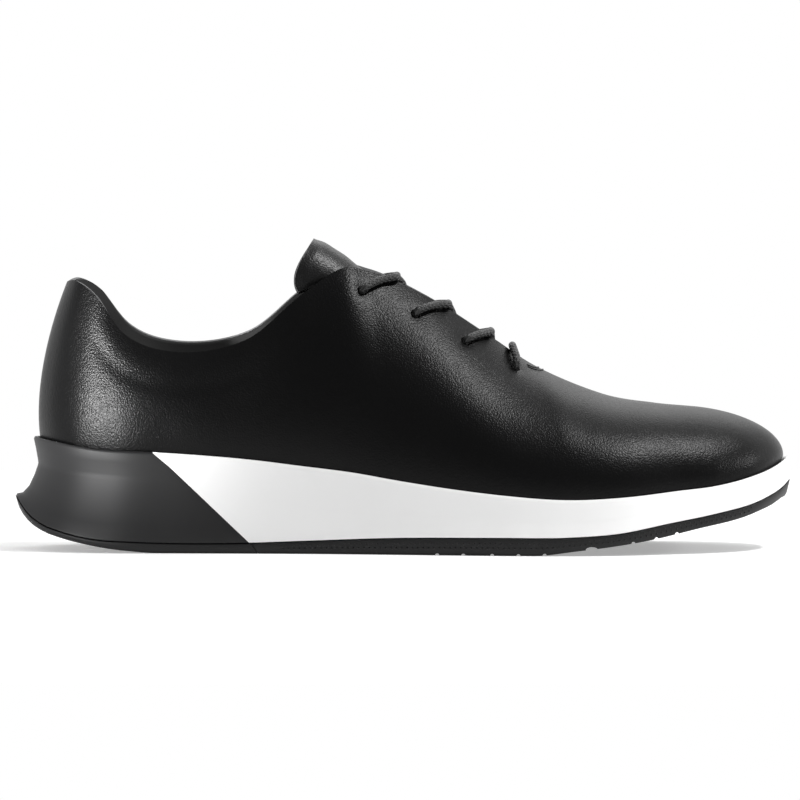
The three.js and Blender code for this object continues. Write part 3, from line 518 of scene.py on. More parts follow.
clip_plastic = finish("clip_plastic", MOULDED, (0.009, 0.009, 0.0095), 0.5, [("Grit", 2600)], bump=0.12,
                      depth=0.00006, vary=0.1, specular=0.3)
aglet_plastic = finish("aglet_plastic", MOULDED, (0.02, 0.02, 0.02), 0.2, bump=0.05,
                       depth=0.00003, specular=0.5)
spring_steel = finish("spring_steel", MOULDED, (0.5, 0.52, 0.55), 0.32, [("Grit", 700)], bump=0.1,
                      depth=0.00005, metallic=1)
fibre_board = finish("fibre_board", FIBRES, (0.45, 0.38, 0.28), 0.85, bump=0.4)
facing_tape = finish("facing_tape", FIBRES, (0.012, 0.012, 0.012), 0.8, [("Fineness", 1800)], bump=0.4)
stiff_felt = finish("stiff_felt", FIBRES, (0.5, 0.43, 0.32), 0.9, [("Fineness", 700)], bump=0.5)
open_foam = finish("open_foam", FIBRES, (0.62, 0.55, 0.32), 0.92, [("Fineness", 1300)], bump=0.6,
                   depth=0.0004)
footbed_foam = finish("footbed_foam", FIBRES, (0.07, 0.075, 0.085), 0.9, [("Fineness", 1500)], bump=0.5)
stitch_thread = finish("stitch_thread", FIBRES, (0.03, 0.03, 0.03), 0.5, [("Fineness", 3000)], bump=0.3)

# ---------------------------------------------------------------- the last's skin

ROW_PITCH = 2.0
EYELET_PITCH = 1.2
RIB_STEPS = 60
LOW_COLUMNS = 3


def make_rows():
    rows = [0.0]
    for i in range(1, len(STATIONS)):
        near_eyelets = 7 <= i <= 11
        pitch = EYELET_PITCH if near_eyelets else ROW_PITCH
        steps = max(1, round((STATIONS[i] - STATIONS[i - 1]) / pitch))
        rows += np.linspace(STATIONS[i - 1], STATIONS[i], steps + 1)[1:].tolist()
    return np.array(rows)


ROWS = make_rows()
ROW_COUNT = len(ROWS)
THROAT_ROW = int(np.argmin(abs(ROWS - STATIONS[THROAT_RIB])))
POLE_ROW = int(np.argmin(abs(ROWS - STATIONS[POLE_RIB])))
COLUMN_COUNT = LOW_COLUMNS + RIB_STEPS + 1
BOARD_TOP = CLEARANCE + LEATHER + CLEARANCE + 1.6


def side_grid(side):
    """Points of one side, row by row: the margin, the feather, the board's edge, then the rib."""
    inset = np.full(ROW_COUNT, -FEATHER_INSET)
    margin = edge_point(side, ROWS, inset - LASTING_MARGIN, seat_height, CLEARANCE)
    feather = edge_point(side, ROWS, inset, seat_height, CLEARANCE)
    t = np.linspace(0, 1, RIB_STEPS + 1)
    ribs = np.stack([rib_points(side, ROWS, np.full(ROW_COUNT, at)) for at in t], 1)
    foot = ribs[:, 0]
    share = ((BOARD_TOP + 1) / (foot[:, 2] - feather[:, 2]))[:, None]
    board = feather + (foot - feather) * share
    return np.concatenate([np.stack([margin, feather, board], 1), ribs], 1)


def relax_pole(skin, middle, radius, rounds):
    """Evens out the fan of points at the top of the toe."""
    reach = np.linalg.norm(skin.points - middle, axis=1)
    weight = np.clip(1 - (reach / radius) ** 2, 0, 1)[:, None] * 0.6
    near = np.flatnonzero(weight[:, 0] > 0)
    kept = skin.quads[np.isin(skin.quads, near).any(1)]
    pairs = np.vstack([kept[:, [0, 1]], kept[:, [1, 2]], kept[:, [2, 3]], kept[:, [3, 0]]])
    pairs = pairs[pairs[:, 0] != pairs[:, 1]]
    pairs = np.vstack([pairs, pairs[:, ::-1]])
    for _ in range(rounds):
        total = np.zeros_like(skin.points)
        count = np.zeros(len(skin.points))
        np.add.at(total, pairs[:, 0], skin.points[pairs[:, 1]])
        np.add.at(count, pairs[:, 0], 1)
        mean = total[near] / count[near][:, None]
        skin.points[near] += (mean - skin.points[near]) * weight[near]
    skin.find_normals()


def make_last_skin():
    grids = {side: side_grid(side) for side in SIDES}
    count = ROW_COUNT * COLUMN_COUNT
    lateral = np.arange(count).reshape(ROW_COUNT, COLUMN_COUNT)
    lateral[POLE_ROW + 1:, -1] = lateral[POLE_ROW, -1]
    medial = np.arange(count, 2 * count).reshape(ROW_COUNT, COLUMN_COUNT)
    medial[0] = lateral[0]
    medial[-1] = lateral[-1]
    medial[THROAT_ROW:, -1] = lateral[THROAT_ROW:, -1]
    points = np.vstack([grids[side].reshape(-1, 3) for side in SIDES])
    below = np.zeros((ROW_COUNT, COLUMN_COUNT))
    depths = []
    for side in SIDES:
        steps = np.linalg.norm(np.diff(grids[side], axis=1), axis=2)
        below = np.concatenate([np.cumsum(steps[:, ::-1], 1)[:, ::-1], np.zeros((ROW_COUNT, 1))], 1)
        depths.append(below.ravel())
    column = np.tile(np.arange(COLUMN_COUNT), 2 * ROW_COUNT)
    row = np.tile(np.repeat(np.arange(ROW_COUNT), COLUMN_COUNT), 2)
    side_sign = np.repeat([-1, 1], count)
    quads = []
    for index, flip in ((lateral, False), (medial, True)):
        near, far = index[:-1], index[1:]
        quad = np.stack([near[:, :-1], far[:, :-1], far[:, 1:], near[:, 1:]], -1).reshape(-1, 4)
        quads.append(quad[:, ::-1] if flip else quad)
    skin = Skin(points, np.vstack(quads), below=np.concatenate(depths), column=column, row=row,
                side=side_sign, top_x=top_x(ROWS)[row])
    relax_pole(skin, np.array([112, 5, 55.4]), 16, 30)
    return skin


last = make_last_skin()


def quad_test(skin, passes):
    """The quads whose corners all pass."""
    return passes[skin.quads].all(1)


# ---------------------------------------------------------------- eyelets

EYELET_TOPS = [-17.5, 2.2, 22, 41.2]
EYELET_INSETS = [10.5, 13.5, 13.5, 13]
EYELET_RADIUS = 2.2


def station_of_top(x):
    low, high = 0.0, STATIONS[THROAT_RIB]
    while high - low > 0.01:
        middle = (low + high) / 2
        if top_x(middle) < x:
            low = middle
        else:
            high = middle
    return low


def rib_line(side, station):
    """A rib as closely spaced points, with the share of its length at each."""
    t = np.linspace(0, 1, 201)
    points = rib_points(side, np.full(t.shape, float(station)), t)
    run = np.concatenate([[0], np.cumsum(np.linalg.norm(np.diff(points, axis=0), axis=1))])
    return points, run / run[-1], run[-1]


def on_leather(side, station, share):
    """A point of the leather at a share of the way up a rib, and the direction straight out of it."""

    def at(where, part):
        points, run, _ = rib_line(side, where)
        return np.array([np.interp(part, run, points[:, k]) for k in range(3)])

    up = at(station, min(share + 0.01, 1)) - at(station, share - 0.01)
    ahead = at(station + 1, share) - at(station - 1, share)
    normal = np.cross(ahead, up)
    if side == "medial":
        normal = -normal
    return at(station, share), normal / np.linalg.norm(normal)


class Eyelet:
    def __init__(self, side, row):
        self.side = side
        self.station = station_of_top(EYELET_TOPS[row])
        self.share = 1 - EYELET_INSETS[row] / rib_line(side, self.station)[2]
        self.point, self.normal = on_leather(side, self.station, self.share)


eyelets = {side: [Eyelet(side, row) for row in range(4)] for side in SIDES}
ALL_EYELETS = eyelets["lateral"] + eyelets["medial"]


def eyelet_reach(skin, eyelet):
    """How far each point of a skin is from an eyelet's axis, and the direction away from it."""
    away = skin.points - eyelet.point
    away = away - np.outer(away @ eyelet.normal, eyelet.normal)
    reach = np.linalg.norm(away, axis=1)
    same = np.linalg.norm(skin.points - eyelet.point, axis=1) < 14
    return np.where(same, reach, 1e3), away


def punch_eyelets(skin):
    """Opens a round hole at each eyelet: which quads stay, after the hole's edge is made round."""
    keep = np.ones(len(skin.quads), bool)
    for eyelet in ALL_EYELETS:
        reach, away = eyelet_reach(skin, eyelet)
        middles = skin.points[skin.quads].mean(1) - eyelet.point
        flat = middles - np.outer(middles @ eyelet.normal, eyelet.normal)
        inside = (np.linalg.norm(flat, axis=1) < EYELET_RADIUS) & (np.linalg.norm(middles, axis=1) < 8)
        keep &= ~inside
        edge = np.intersect1d(skin.quads[inside], skin.quads[keep])
        skin.points[edge] += away[edge] * (EYELET_RADIUS / reach[edge] - 1)[:, None]
    return keep


# ---------------------------------------------------------------- upper and linings

BACKER = LEATHER + CLEARANCE
PAD_FRONT, PAD_FADE = -46, 12


def fade_to_heel():
    """1 round the ankle, 0 from the facings forward."""
    return np.clip((PAD_FRONT - last.labels["top_x"]) / PAD_FADE, 0, 1)


def bump_at(values, middle, width):
    return np.exp(-(((values - middle) / width) ** 2))


def upper_depth():
    """How far the leather sinks under the last's skin: the padded roll round the ankle and the dents at the
    eyelets.
    """
    below = last.labels["below"]
    on_rib = last.labels["column"] >= LOW_COLUMNS
    roll = fade_to_heel() * on_rib
    roll *= np.clip((last.labels["top_x"] + 128) / 14, 0, 1)
    depth = -0.2 * roll * bump_at(below, 6, 5) + 0.22 * roll * bump_at(below, 14.5, 3.4)
    depth[last.labels["row"] > THROAT_ROW] = 0
    for eyelet in ALL_EYELETS:
        reach, _ = eyelet_reach(last, eyelet)
        depth += 0.5 * np.exp(-((reach / 3.4) ** 2))
    return depth


def make_upper(keep):
    depth = upper_depth()
    points, faces, edge = last.layer(keep, depth, depth + LEATHER)
    kinds = [0] * len(faces) + [1] * len(edge)
    upper = mesh_piece("upper_leather", points, faces + edge, [upper_leather, cut_edge], face_materials=kinds)
    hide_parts("upper")
    return upper


def rib_share():
    """How far each point is below the top of its rib, in eighths of the rib."""
    column = last.labels["column"]
    return (COLUMN_COUNT - 1 - column) * 8 / RIB_STEPS


def pad_share():
    return np.interp(rib_share(), [0, 1, 2, 3, 4], [0, 1, 1, 0.5, 0]) * fade_to_heel()


def lining_depth():
    eighths = rib_share()
    flat = np.interp(eighths, [0, 1, 3.2, 4], [BACKER, BACKER + 1.1, BACKER + 1.1, BACKER + 1.8])
    flat = np.where(last.labels["row"] > THROAT_ROW, BACKER + 1.8, flat)
    padded = BACKER + 3.9 * pad_share()
    dents = np.zeros(len(flat))
    for eyelet in ALL_EYELETS:
        reach, _ = eyelet_reach(last, eyelet)
        dents += 0.3 * np.exp(-((reach / 3.4) ** 2))
    return np.maximum(flat, padded) + dents


LINING_SEAM = 20


def make_linings(keep):
    depth = lining_depth()
    on_board = last.labels["column"] >= LOW_COLUMNS - 1
    x = last.points[:, 0]
    middle = x[last.quads].mean(1)
    for name, part in (("quarter_lining", middle < LINING_SEAM), ("vamp_lining", middle >= LINING_SEAM)):
        kept = keep & quad_test(last, on_board) & part
        points, faces, edge = last.layer(kept, depth, depth + LINING)
        piece = mesh_piece(name, points, faces + edge, [lining_leather])
        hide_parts(name)


def make_collar_foam():
    share = pad_share()
    inside = (rib_share() > 0.9) & (rib_share() < 3.6) & (last.labels["top_x"] < PAD_FRONT - 2)
    thickness = 0.6 + 2.6 * share
    points, faces, edge = last.layer(quad_test(last, inside), np.full(len(share), BACKER), BACKER + thickness)
    foam = mesh_piece("collar_foam", points, faces + edge, [open_foam])
    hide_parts("collar_foam")


kept_quads = punch_eyelets(last)
last.find_normals()
make_upper(kept_quads)
make_linings(kept_quads)
make_collar_foam()

# ---------------------------------------------------------------- tongue

# The middle line of the tongue from its base to its top: x, z, the arch's radius, its half angle and the
# straight skirt on each side.
TONGUE_LINE = np.array([
    (56, 60.6, 50, 18, 0), (49, 63.4, 36, 27, 0), (38, 70, 24, 42, 0), (25, 79.4, 19, 54, 0),
    (10, 90, 17, 60, 0), (-3, 98.2, 17, 57, 0), (-13, 106.2, 17, 60, 0), (-22.6, 114.2, 17, 66, 3.5),
    (-34.3, 121.6, 18.5, 84, 11.5),
])


def tongue_curve(column):
    values = TONGUE_LINE[:, column]
    return smooth(np.arange(9), values, 2 * values[0] - values[1], 2 * values[-1] - values[-2])


tongue_x, tongue_z, tongue_radius, tongue_angle, tongue_skirt = (tongue_curve(c) for c in range(5))


def tongue_crest(at):
    """The middle of the tongue's upper face, and the direction straight out of it."""
    at = np.asarray(at, float)
    run_x = tongue_x(at + 0.1) - tongue_x(at - 0.1)
    run_z = tongue_z(at + 0.1) - tongue_z(at - 0.1)
    size = np.hypot(run_x, run_z)
    zero = np.zeros_like(run_x)
    point = np.stack([tongue_x(at), zero, tongue_z(at)], -1)
    return point, np.stack([run_z / size, zero, -run_x / size], -1)


TONGUE_ROWS, TONGUE_COLUMNS = 121, 61
CORNER_TRIM = 0.42


def make_tongue_skin():
    at = np.linspace(0, 8, TONGUE_ROWS)[:, None]
    across = np.linspace(-1, 1, TONGUE_COLUMNS)[None]
    at = at - CORNER_TRIM * at / 8 * across**4
    crest, normal = tongue_crest(at)
    radius = tongue_radius(at)
    arc = radius * np.radians(tongue_angle(at))
    half_width = arc + tongue_skirt(at)
    reach = abs(across) * half_width
    turn = np.minimum(reach, arc) / radius
    hang = np.maximum(reach - arc, 0)
    down = radius * (1 - np.cos(turn)) + hang * np.sin(turn)
    points = crest - normal * down[..., None]
    points[..., 1] = np.sign(across) * (radius * np.sin(turn) + hang * np.cos(turn))
    index = np.arange(TONGUE_ROWS * TONGUE_COLUMNS).reshape(TONGUE_ROWS, TONGUE_COLUMNS)
    quads = np.stack([index[:-1, :-1], index[:-1, 1:], index[1:, 1:], index[1:, :-1]], -1).reshape(-1, 4)
    side_gap = half_width * (1 - abs(across))
    end_gap = np.linalg.norm(points - points[-1:], axis=-1)
    base = np.linalg.norm(points - points[:1], axis=-1)
    inset = np.minimum(side_gap, end_gap)
    return Skin(points.reshape(-1, 3), quads, inset=inset.ravel(), base=base.ravel())


def make_tongue():
    skin = make_tongue_skin()
    inset, base = skin.labels["inset"], skin.labels["base"]
    everything = np.ones(len(skin.quads), bool)
    rounding = np.exp(-((inset / 2.6) ** 2))
    outer = 0.9 * rounding
    creases = 0.05 * np.sin(skin.points[:, 0] * 0.9 + skin.points[:, 1] * 0.25) * np.clip(1 - rounding, 0, 1)
    outer = outer + creases
    points, faces, edge = skin.layer(everything, outer, outer + 1.2)
    kinds = [0] * len(faces) + [1] * len(edge)
    cover = mesh_piece("tongue_cover", points, faces + edge, [tongue_leather, cut_edge], "tongue",
                       face_materials=kinds)
    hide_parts("tongue_leather")

    fullness = np.clip(0.55 + inset / 7, 0, 1) * np.clip(base / 16, 0.1, 1)
    foam_bottom = outer + 1.3 + 3.6 * fullness
    inside = quad_test(skin, (inset > 1.6) & (base > 10))
    points, faces, edge = skin.layer(inside, outer + 1.25, foam_bottom)
    pad = mesh_piece("tongue_pad", points, faces + edge, [open_foam], "tongue")
    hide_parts("tongue_foam")

    wall_top = np.where(inset < 1.2, outer + 1.25, foam_bottom + 0.05)
    points, faces, edge = skin.layer(everything, wall_top, foam_bottom + 0.05 + LINING * 0.9)
    backing = mesh_piece("tongue_backing", points, faces + edge, [lining_leather], "tongue")
    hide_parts("tongue_lining")


make_tongue()

# ---------------------------------------------------------------- sole


def ring_solid(levels, rows=ROWS):
    """A closed solid from rings of the sole's edge, lowest first, capped across the shoe."""
    rings = []
    for offset, height, lift in levels:
        loop = []
        for side, stations in (("lateral", rows), ("medial", rows[-2:0:-1])):
            reach = offset(rim_x(stations)) if callable(offset) else np.full(stations.shape, float(offset))
            loop.append(edge_point(side, stations, reach, height, lift))
        rings.append(np.vstack(loop))
    count = len(rings[0])
    last_row = len(rows) - 1
    faces = []
    for level in range(len(rings) - 1):
        for i in range(count):
            a = level * count + i
            b = level * count + (i + 1) % count
            faces.append([a, b, b + count, a + count])
    top = (len(rings) - 1) * count
    for row in range(last_row):
        a, b, c, d = row, row + 1, (count - row - 1) % count, (count - row) % count
        faces.append(list(dict.fromkeys([a, d, c, b])))
        faces.append(list(dict.fromkeys([top + a, top + b, top + c, top + d])))
    return np.vstack(rings), faces


def between(low, high, share):
    return lambda x: low(x) + (high(x) - low(x)) * share


def raised(line, lift):
    return lambda x: line(x) + lift


def raw_object(name, points, faces):
    mesh = bpy.data.meshes.new(name)
    mesh.from_pydata(((np.asarray(points) + FRAME_SHIFT) * MM).tolist(), [], faces)
    mesh.update()
    piece = bpy.data.objects.new(name, mesh)
    bpy.context.collection.objects.link(piece)
    return piece


def across_shoe(name, outline, width=80):
    """A cutter with one outline in X and Z, run across the shoe."""
    area = sum(a[0] * b[1] - b[0] * a[1] for a, b in zip(outline, outline[1:] + outline[:1]))
    outline = outline if area > 0 else outline[::-1]
    count = len(outline)
    points = [(x, -width, z) for x, z in outline] + [(x, width, z) for x, z in outline]
    faces = [list(range(count)), list(range(2 * count - 1, count - 1, -1))]
    faces += [[(i + 1) % count, i, i + count, (i + 1) % count + count] for i in range(count)]
    return raw_object(name, points, faces)


def combined(piece, *steps):
    """The piece after boolean steps of (operation, cutter)."""
    for operation, cutter in steps:
        modifier = piece.modifiers.new("step", "BOOLEAN")
        modifier.operation = operation
        modifier.object = cutter
        modifier.solver = "EXACT"
    bpy.context.view_layer.update()
    result = bpy.data.meshes.new_from_object(piece.evaluated_get(bpy.context.evaluated_depsgraph_get()))
    piece.modifiers.clear()
    return result


def finished(name, mesh, material, replaces, body="shoe", sharp=38):
    mesh.materials.clear()
    mesh.materials.append(material)
    mesh.polygons.foreach_set("use_smooth", [True] * len(mesh.polygons))
    mesh.polygons.foreach_set("material_index", [0] * len(mesh.polygons))
    mesh.set_sharp_from_angle(angle=math.radians(sharp))
    mesh.name = name
    piece = bpy.data.objects.new(name, mesh)
    bpy.context.collection.objects.link(piece)
    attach(piece, body)
    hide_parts(replaces)
    return piece


def discard(*objects):
    for item in objects:
        bpy.data.objects.remove(item)


def side_levels():
    """The cup's profile from the outsole up: the flared lower band, the crease, the upper band, the lip."""
    levels = [(raised(outsole_flare, -0.35), outsole_top, 0)]
    for share in (0.06, 0.25, 0.5, 0.75, 0.94):
        flare_share = 1 - share
        hollow = 0.6 * flare_share + 0.4 * flare_share**2
        levels.append((
            between(crease_flare, outsole_flare, hollow), between(outsole_top, crease_height, share), 0))
    levels.append((raised(crease_flare, 0.05), crease_height, 0))
    levels.append((between(crease_flare, lambda x: 0 * x, 0.1), between(crease_height, rim_height, 0.1), 0))
    levels.append((between(crease_flare, lambda x: 0 * x, 0.6), between(crease_height, rim_height, 0.55), 0))
    levels.append((0.05, rim_height, -1.3))
    levels.append((-0.1, rim_height, -0.6))
    levels.append((-0.45, rim_height, -0.15))
    levels.append((-1, rim_height, 0))
    levels.append((-1.6, rim_height, -0.05))
    levels.append((-RIM_WALL, rim_height, -0.5))
    levels.append((-CUP_WALL, seat_height, 0))
    return levels


GROOVES = [
    (13, 1.6), (23, 1.6), (34, 1.6), (44, 1.6), (54, 1.6), (72, 4.7), (88, 1.6), (97, 1.6), (105, 1.6),
]
GROOVE_DEPTH = 1.1
RECESS_INSET, RECESS_DEPTH = 7, 1.2
CLIP_FRONT = [(-103, 60), (-96.7, 38.6), (-90, 33), (-59.7, 4.5), (-52, -3)]


def clip_region(name, gap):
    front = [(x + gap, z) for x, z in CLIP_FRONT]
    return across_shoe(name, front + [(-200, -3), (-200, 60)])


def core_fill(name, gap):
    points, faces = ring_solid([
        (raised(outsole_flare, -CUP_WALL - gap), outsole_top, -3),
        (-CUP_WALL - gap, seat_height, 0),
        (-CUP_WALL - gap, seat_height, 40),
    ], SOLE_ROWS)
    return raw_object(name, points, faces)


SOLE_ROWS = ROWS[::2] if ROW_COUNT % 2 else np.append(ROWS[::2], ROWS[-1])


def make_cup():
    points, faces = ring_solid(side_levels(), SOLE_ROWS)
    cup = raw_object("cup", points, faces)
    clip_cut, clip_core = clip_region("clip_cut", 0), core_fill("clip_core", -CLEARANCE / 2)
    clip = combined(cup, ("INTERSECT", clip_cut), ("DIFFERENCE", clip_core))
    finished("heel_clip", clip, clip_plastic, "heel_clip")
    wall_cut, sole_core = clip_region("wall_cut", CLEARANCE), core_fill("sole_core", CLEARANCE / 2)
    wall_mesh = combined(wall_cut, ("DIFFERENCE", sole_core))
    wall = bpy.data.objects.new("wall", wall_mesh)
    bpy.context.collection.objects.link(wall)
    midsole = combined(cup, ("DIFFERENCE", wall))
    finished("midsole", midsole, midsole_foam, "midsole")
    discard(cup, clip_cut, clip_core, wall_cut, sole_core, wall)


def under_top(drop):
    """A line just under the outsole's top, closer where the outsole is thin."""
    return lambda x: outsole_top(x) - CLEARANCE - np.minimum(drop, 0.3 * (outsole_top(x) - outsole_bottom(x)))


def make_outsole():
    points, faces = ring_solid([
        (raised(outsole_flare, -2.0), outsole_bottom, 0),
        (raised(outsole_flare, -1.1), between(outsole_bottom, outsole_top, 0.03), 0),
        (raised(outsole_flare, -0.75), between(outsole_bottom, outsole_top, 0.12), 0),
        (raised(outsole_flare, -0.35), between(outsole_bottom, outsole_top, 0.34), 0),
        (outsole_flare, under_top(1.2), 0),
        (raised(outsole_flare, -0.1), under_top(0.35), 0),
        (raised(outsole_flare, -0.6), under_top(0), 0),
    ], SOLE_ROWS)
    whole = raw_object("outsole", points, faces)
    points, faces = ring_solid([
        (raised(outsole_flare, -RECESS_INSET), outsole_bottom, -4),
        (raised(outsole_flare, -RECESS_INSET), outsole_bottom, RECESS_DEPTH),
    ], SOLE_ROWS)
    recess = raw_object("recess", points, faces)
    cutters = []
    for x, width in GROOVES:
        bottom = float(outsole_bottom(x))
        turns = np.linspace(0, 2 * math.pi, 17)[:-1]
        depth = min(width / 2, GROOVE_DEPTH)
        outline = [(x + width / 2 * math.cos(a), bottom + depth * math.sin(a)) for a in turns]
        cutters.append(across_shoe("groove", outline))
    front_outline = [(-54.2, -2), (-60.4, 7), (-60.4, 60), (200, 60), (200, -2)]
    back_outline = [(-54.5, -2), (-60.7, 7), (-60.7, 60), (-200, 60), (-200, -2)]
    front = across_shoe("front", front_outline)
    back = across_shoe("back", back_outline)
    steps = [("DIFFERENCE", cutter) for cutter in [recess, *cutters]]
    forefoot = combined(whole, ("INTERSECT", front), *steps)
    finished("outsole_forefoot", forefoot, outsole_rubber, "outsole_forefoot")
    heel = combined(whole, ("INTERSECT", back), ("DIFFERENCE", recess))
    finished("outsole_heel", heel, outsole_rubber, "outsole_heel")
    discard(whole, front, back, recess, *cutters)


make_cup()
make_outsole()

# ---------------------------------------------------------------- inside floor

FOOTBED_INSET = CUP_WALL + 2.1 + 3
FOOTBED_FLOOR = BOARD_TOP + CLEARANCE


def make_footbed():
    floor = FOOTBED_FLOOR
    points, faces = ring_solid([
        (-FOOTBED_INSET, seat_height, floor),
        (-FOOTBED_INSET, seat_height, floor + 4.6),
        (-FOOTBED_INSET - 0.5, seat_height, floor + 5),
    ], SOLE_ROWS)
    footbed = mesh_piece("footbed", points, faces, [footbed_foam])
    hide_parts("footbed")
    floor += 5 + CLEARANCE
    points, faces = ring_solid([
        (-FOOTBED_INSET, seat_height, floor),
        (-FOOTBED_INSET, seat_height, floor + 0.8),
        (-FOOTBED_INSET - 0.3, seat_height, floor + 1),
    ], SOLE_ROWS)
    cover = mesh_piece("footbed_cover", points, faces, [lining_leather])
    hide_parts("footbed_cover")


make_footbed()

# ---------------------------------------------------------------- lace

LACE_RADIUS = 1.5
FACING_STACK = BACKER + 0.8 + CLEARANCE + LINING
OVER_LEATHER = LACE_RADIUS + CLEARANCE
UNDER_FACING = -(FACING_STACK + 2 * CLEARANCE + LACE_RADIUS)
THROUGH_LIFTS = (1, -1.8, -4.4)
OUTSIDE_REACH = (0.75, 0.75, 0.55)
INSIDE_REACH = (0.2, 0.2, 0.4)
CROSSING_REACH = (0.6, 0.6, 0.35)
EDGE_OVERHANG = 2.4


def lerp(a, b, share):
    return a + (b - a) * share


def strand(eyelet, neighbour, reach, lift):
    edge_station = lerp(eyelet.station, neighbour.station, reach)
    points = []
    for share in (0.3, 0.65, 1):
        station = lerp(eyelet.station, edge_station, share)
        point, normal = on_leather(eyelet.side, station, lerp(eyelet.share, 1, share))
        points.append(point + normal * lift)
    return points


def through_eyelet(eyelet):
    return [eyelet.point + eyelet.normal * lift for lift in THROUGH_LIFTS]


def crossing(row, is_upper):
    x = lerp(eyelets["lateral"][row].point[0], eyelets["lateral"][row + 1].point[0], CROSSING_REACH[row])
    at = 0.0
    while tongue_x(at) > x:
        at += 0.02
    point, normal = tongue_crest(at)
    lift = LACE_RADIUS + 2 * CLEARANCE + (2 * LACE_RADIUS + CLEARANCE if is_upper else 0)
    point = point + normal * lift
    point[1] = -float(top_gap(eyelets["lateral"][row].station)) * 0.3
    return point


def cross_over(side, row):
    other = OTHER_SIDE[side]
    start, end = eyelets[side][row], eyelets[other][row + 1]
    outside = strand(start, eyelets[side][row + 1], OUTSIDE_REACH[row], OVER_LEATHER)
    inside = strand(end, eyelets[other][row], INSIDE_REACH[row], UNDER_FACING)
    past_edge = outside[-1].copy()
    past_edge[1] -= math.copysign(EDGE_OVERHANG, past_edge[1])
    middle = crossing(row, side == "lateral")
    over = [*outside, past_edge, middle, *inside[::-1]]
    return [*through_eyelet(start)[::-1], *over, *through_eyelet(end)[::-1]]


def across_front():
    halves = []
    for side in SIDES:
        eyelet = eyelets[side][-1]
        half = []
        for share in (0.3, 0.6, 0.9):
            point, normal = on_leather(side, eyelet.station, lerp(eyelet.share, 1, share))
            half.append(point + normal * (OVER_LEATHER + CLEARANCE))
        halves.append(half)
    return halves[1] + halves[0][::-1]


def laced_route():
    def join(runs):
        return [point for i, run in enumerate(runs) for point in (run[:-3] if i < 2 else run)]

    first = join([cross_over("lateral", 0), cross_over("medial", 1), cross_over("lateral", 2)])
    second = join([cross_over("medial", 0), cross_over("lateral", 1), cross_over("medial", 2)])
    return np.array(first + across_front() + second[::-1])


def spline(points, pitch=0.6):
    """A centripetal curve through the points, at even steps."""
    points = np.asarray(points, float)
    ends = np.vstack([2 * points[0] - points[1], points, 2 * points[-1] - points[-2]])
    path = []
    for a, b, c, d in zip(ends, ends[1:], ends[2:], ends[3:]):
        knots = np.cumsum([0, *(np.linalg.norm(q - p) ** 0.5 for p, q in ((a, b), (b, c), (c, d)))])
        t = np.linspace(knots[1], knots[2], 12)[:-1, None]
        ab = lerp(a, b, (t - knots[0]) / (knots[1] - knots[0]))
        bc = lerp(b, c, (t - knots[1]) / (knots[2] - knots[1]))
        cd = lerp(c, d, (t - knots[2]) / (knots[3] - knots[2]))
        abc = lerp(ab, bc, (t - knots[0]) / (knots[2] - knots[0]))
        bcd = lerp(bc, cd, (t - knots[1]) / (knots[3] - knots[1]))
        path.append(lerp(abc, bcd, (t - knots[1]) / (knots[2] - knots[1])))
    path = np.vstack([*path, points[-1:]])
    run = np.concatenate([[0], np.cumsum(np.linalg.norm(np.diff(path, axis=0), axis=1))])
    steps = np.linspace(0, run[-1], max(2, round(run[-1] / pitch)) + 1)
    return np.stack([np.interp(steps, run, path[:, k]) for k in range(3)], 1)


def tube(path, radius, sides=20, swell=None):
    """A round cord along a path: its points, faces and UVs in millimetres along and turns round."""
    tangents = np.gradient(path, axis=0)
    tangents /= np.linalg.norm(tangents, axis=1, keepdims=True)
    side = np.cross(tangents[0], [0, 0, 1.0])
    if np.linalg.norm(side) < 0.1:
        side = np.cross(tangents[0], [1.0, 0, 0])
    run = np.concatenate([[0], np.cumsum(np.linalg.norm(np.diff(path, axis=0), axis=1))])
    rings, uv = [], []
    for i, (point, tangent) in enumerate(zip(path, tangents)):
        side = side - tangent * (side @ tangent)
        side /= np.linalg.norm(side)
        other = np.cross(tangent, side)
        for k in range(sides + 1):
            turn = 2 * math.pi * k / sides
            reach = radius if swell is None else radius * (1 + swell(run[i], k / sides))
            rings.append(point + (side * math.cos(turn) + other * math.sin(turn)) * reach)
            uv.append((run[i], k / sides))
    wide = sides + 1
    faces = []
    for i in range(len(path) - 1):
        for k in range(sides):
            a = i * wide + k
            faces.append([a, a + 1, a + 1 + wide, a + wide])
    start, end = len(rings), len(rings) + 1
    rings += [path[0], path[-1]]
    uv += [(0, 0), (run[-1], 0)]
    tail = (len(path) - 1) * wide
    faces += [[start, k + 1, k] for k in range(sides)]
    faces += [[end, tail + k, tail + k + 1] for k in range(sides)]
    return np.array(rings), faces, np.array(uv)


def make_braided_material():
    """Round waxed lace: eight strands that cross each other, read along the cord."""
    material = finish("braided_lace", FIBRES, (0.011, 0.011, 0.011), 0.42, [("Fineness", 3200)], specular=0.5)
    tree = material.node_tree
    place = next(node for node in tree.nodes if node.type == "TEX_COORD")
    split = tree.nodes.new("ShaderNodeSeparateXYZ")
    tree.links.new(place.outputs["UV"], split.inputs[0])
    lengthwise = math_node(tree, "MULTIPLY", split.outputs["X"], 2 * math.pi / 2.1)
    around = math_node(tree, "MULTIPLY", split.outputs["Y"], 2 * math.pi * 5)
    right = math_node(tree, "SINE", math_node(tree, "ADD", around, lengthwise))
    left = math_node(tree, "SINE", math_node(tree, "SUBTRACT", around, lengthwise))
    strands = math_node(tree, "MAXIMUM", right, left)
    relief = next(node for node in tree.nodes if node.type == "BUMP")
    braid = tree.nodes.new("ShaderNodeBump")
    braid.inputs["Strength"].default_value = 0.55
    braid.inputs["Distance"].default_value = 0.0003
    tree.links.new(strands, braid.inputs["Height"])
    tree.links.new(braid.outputs["Normal"], relief.inputs["Normal"])
    return material


braided_lace = make_braided_material()

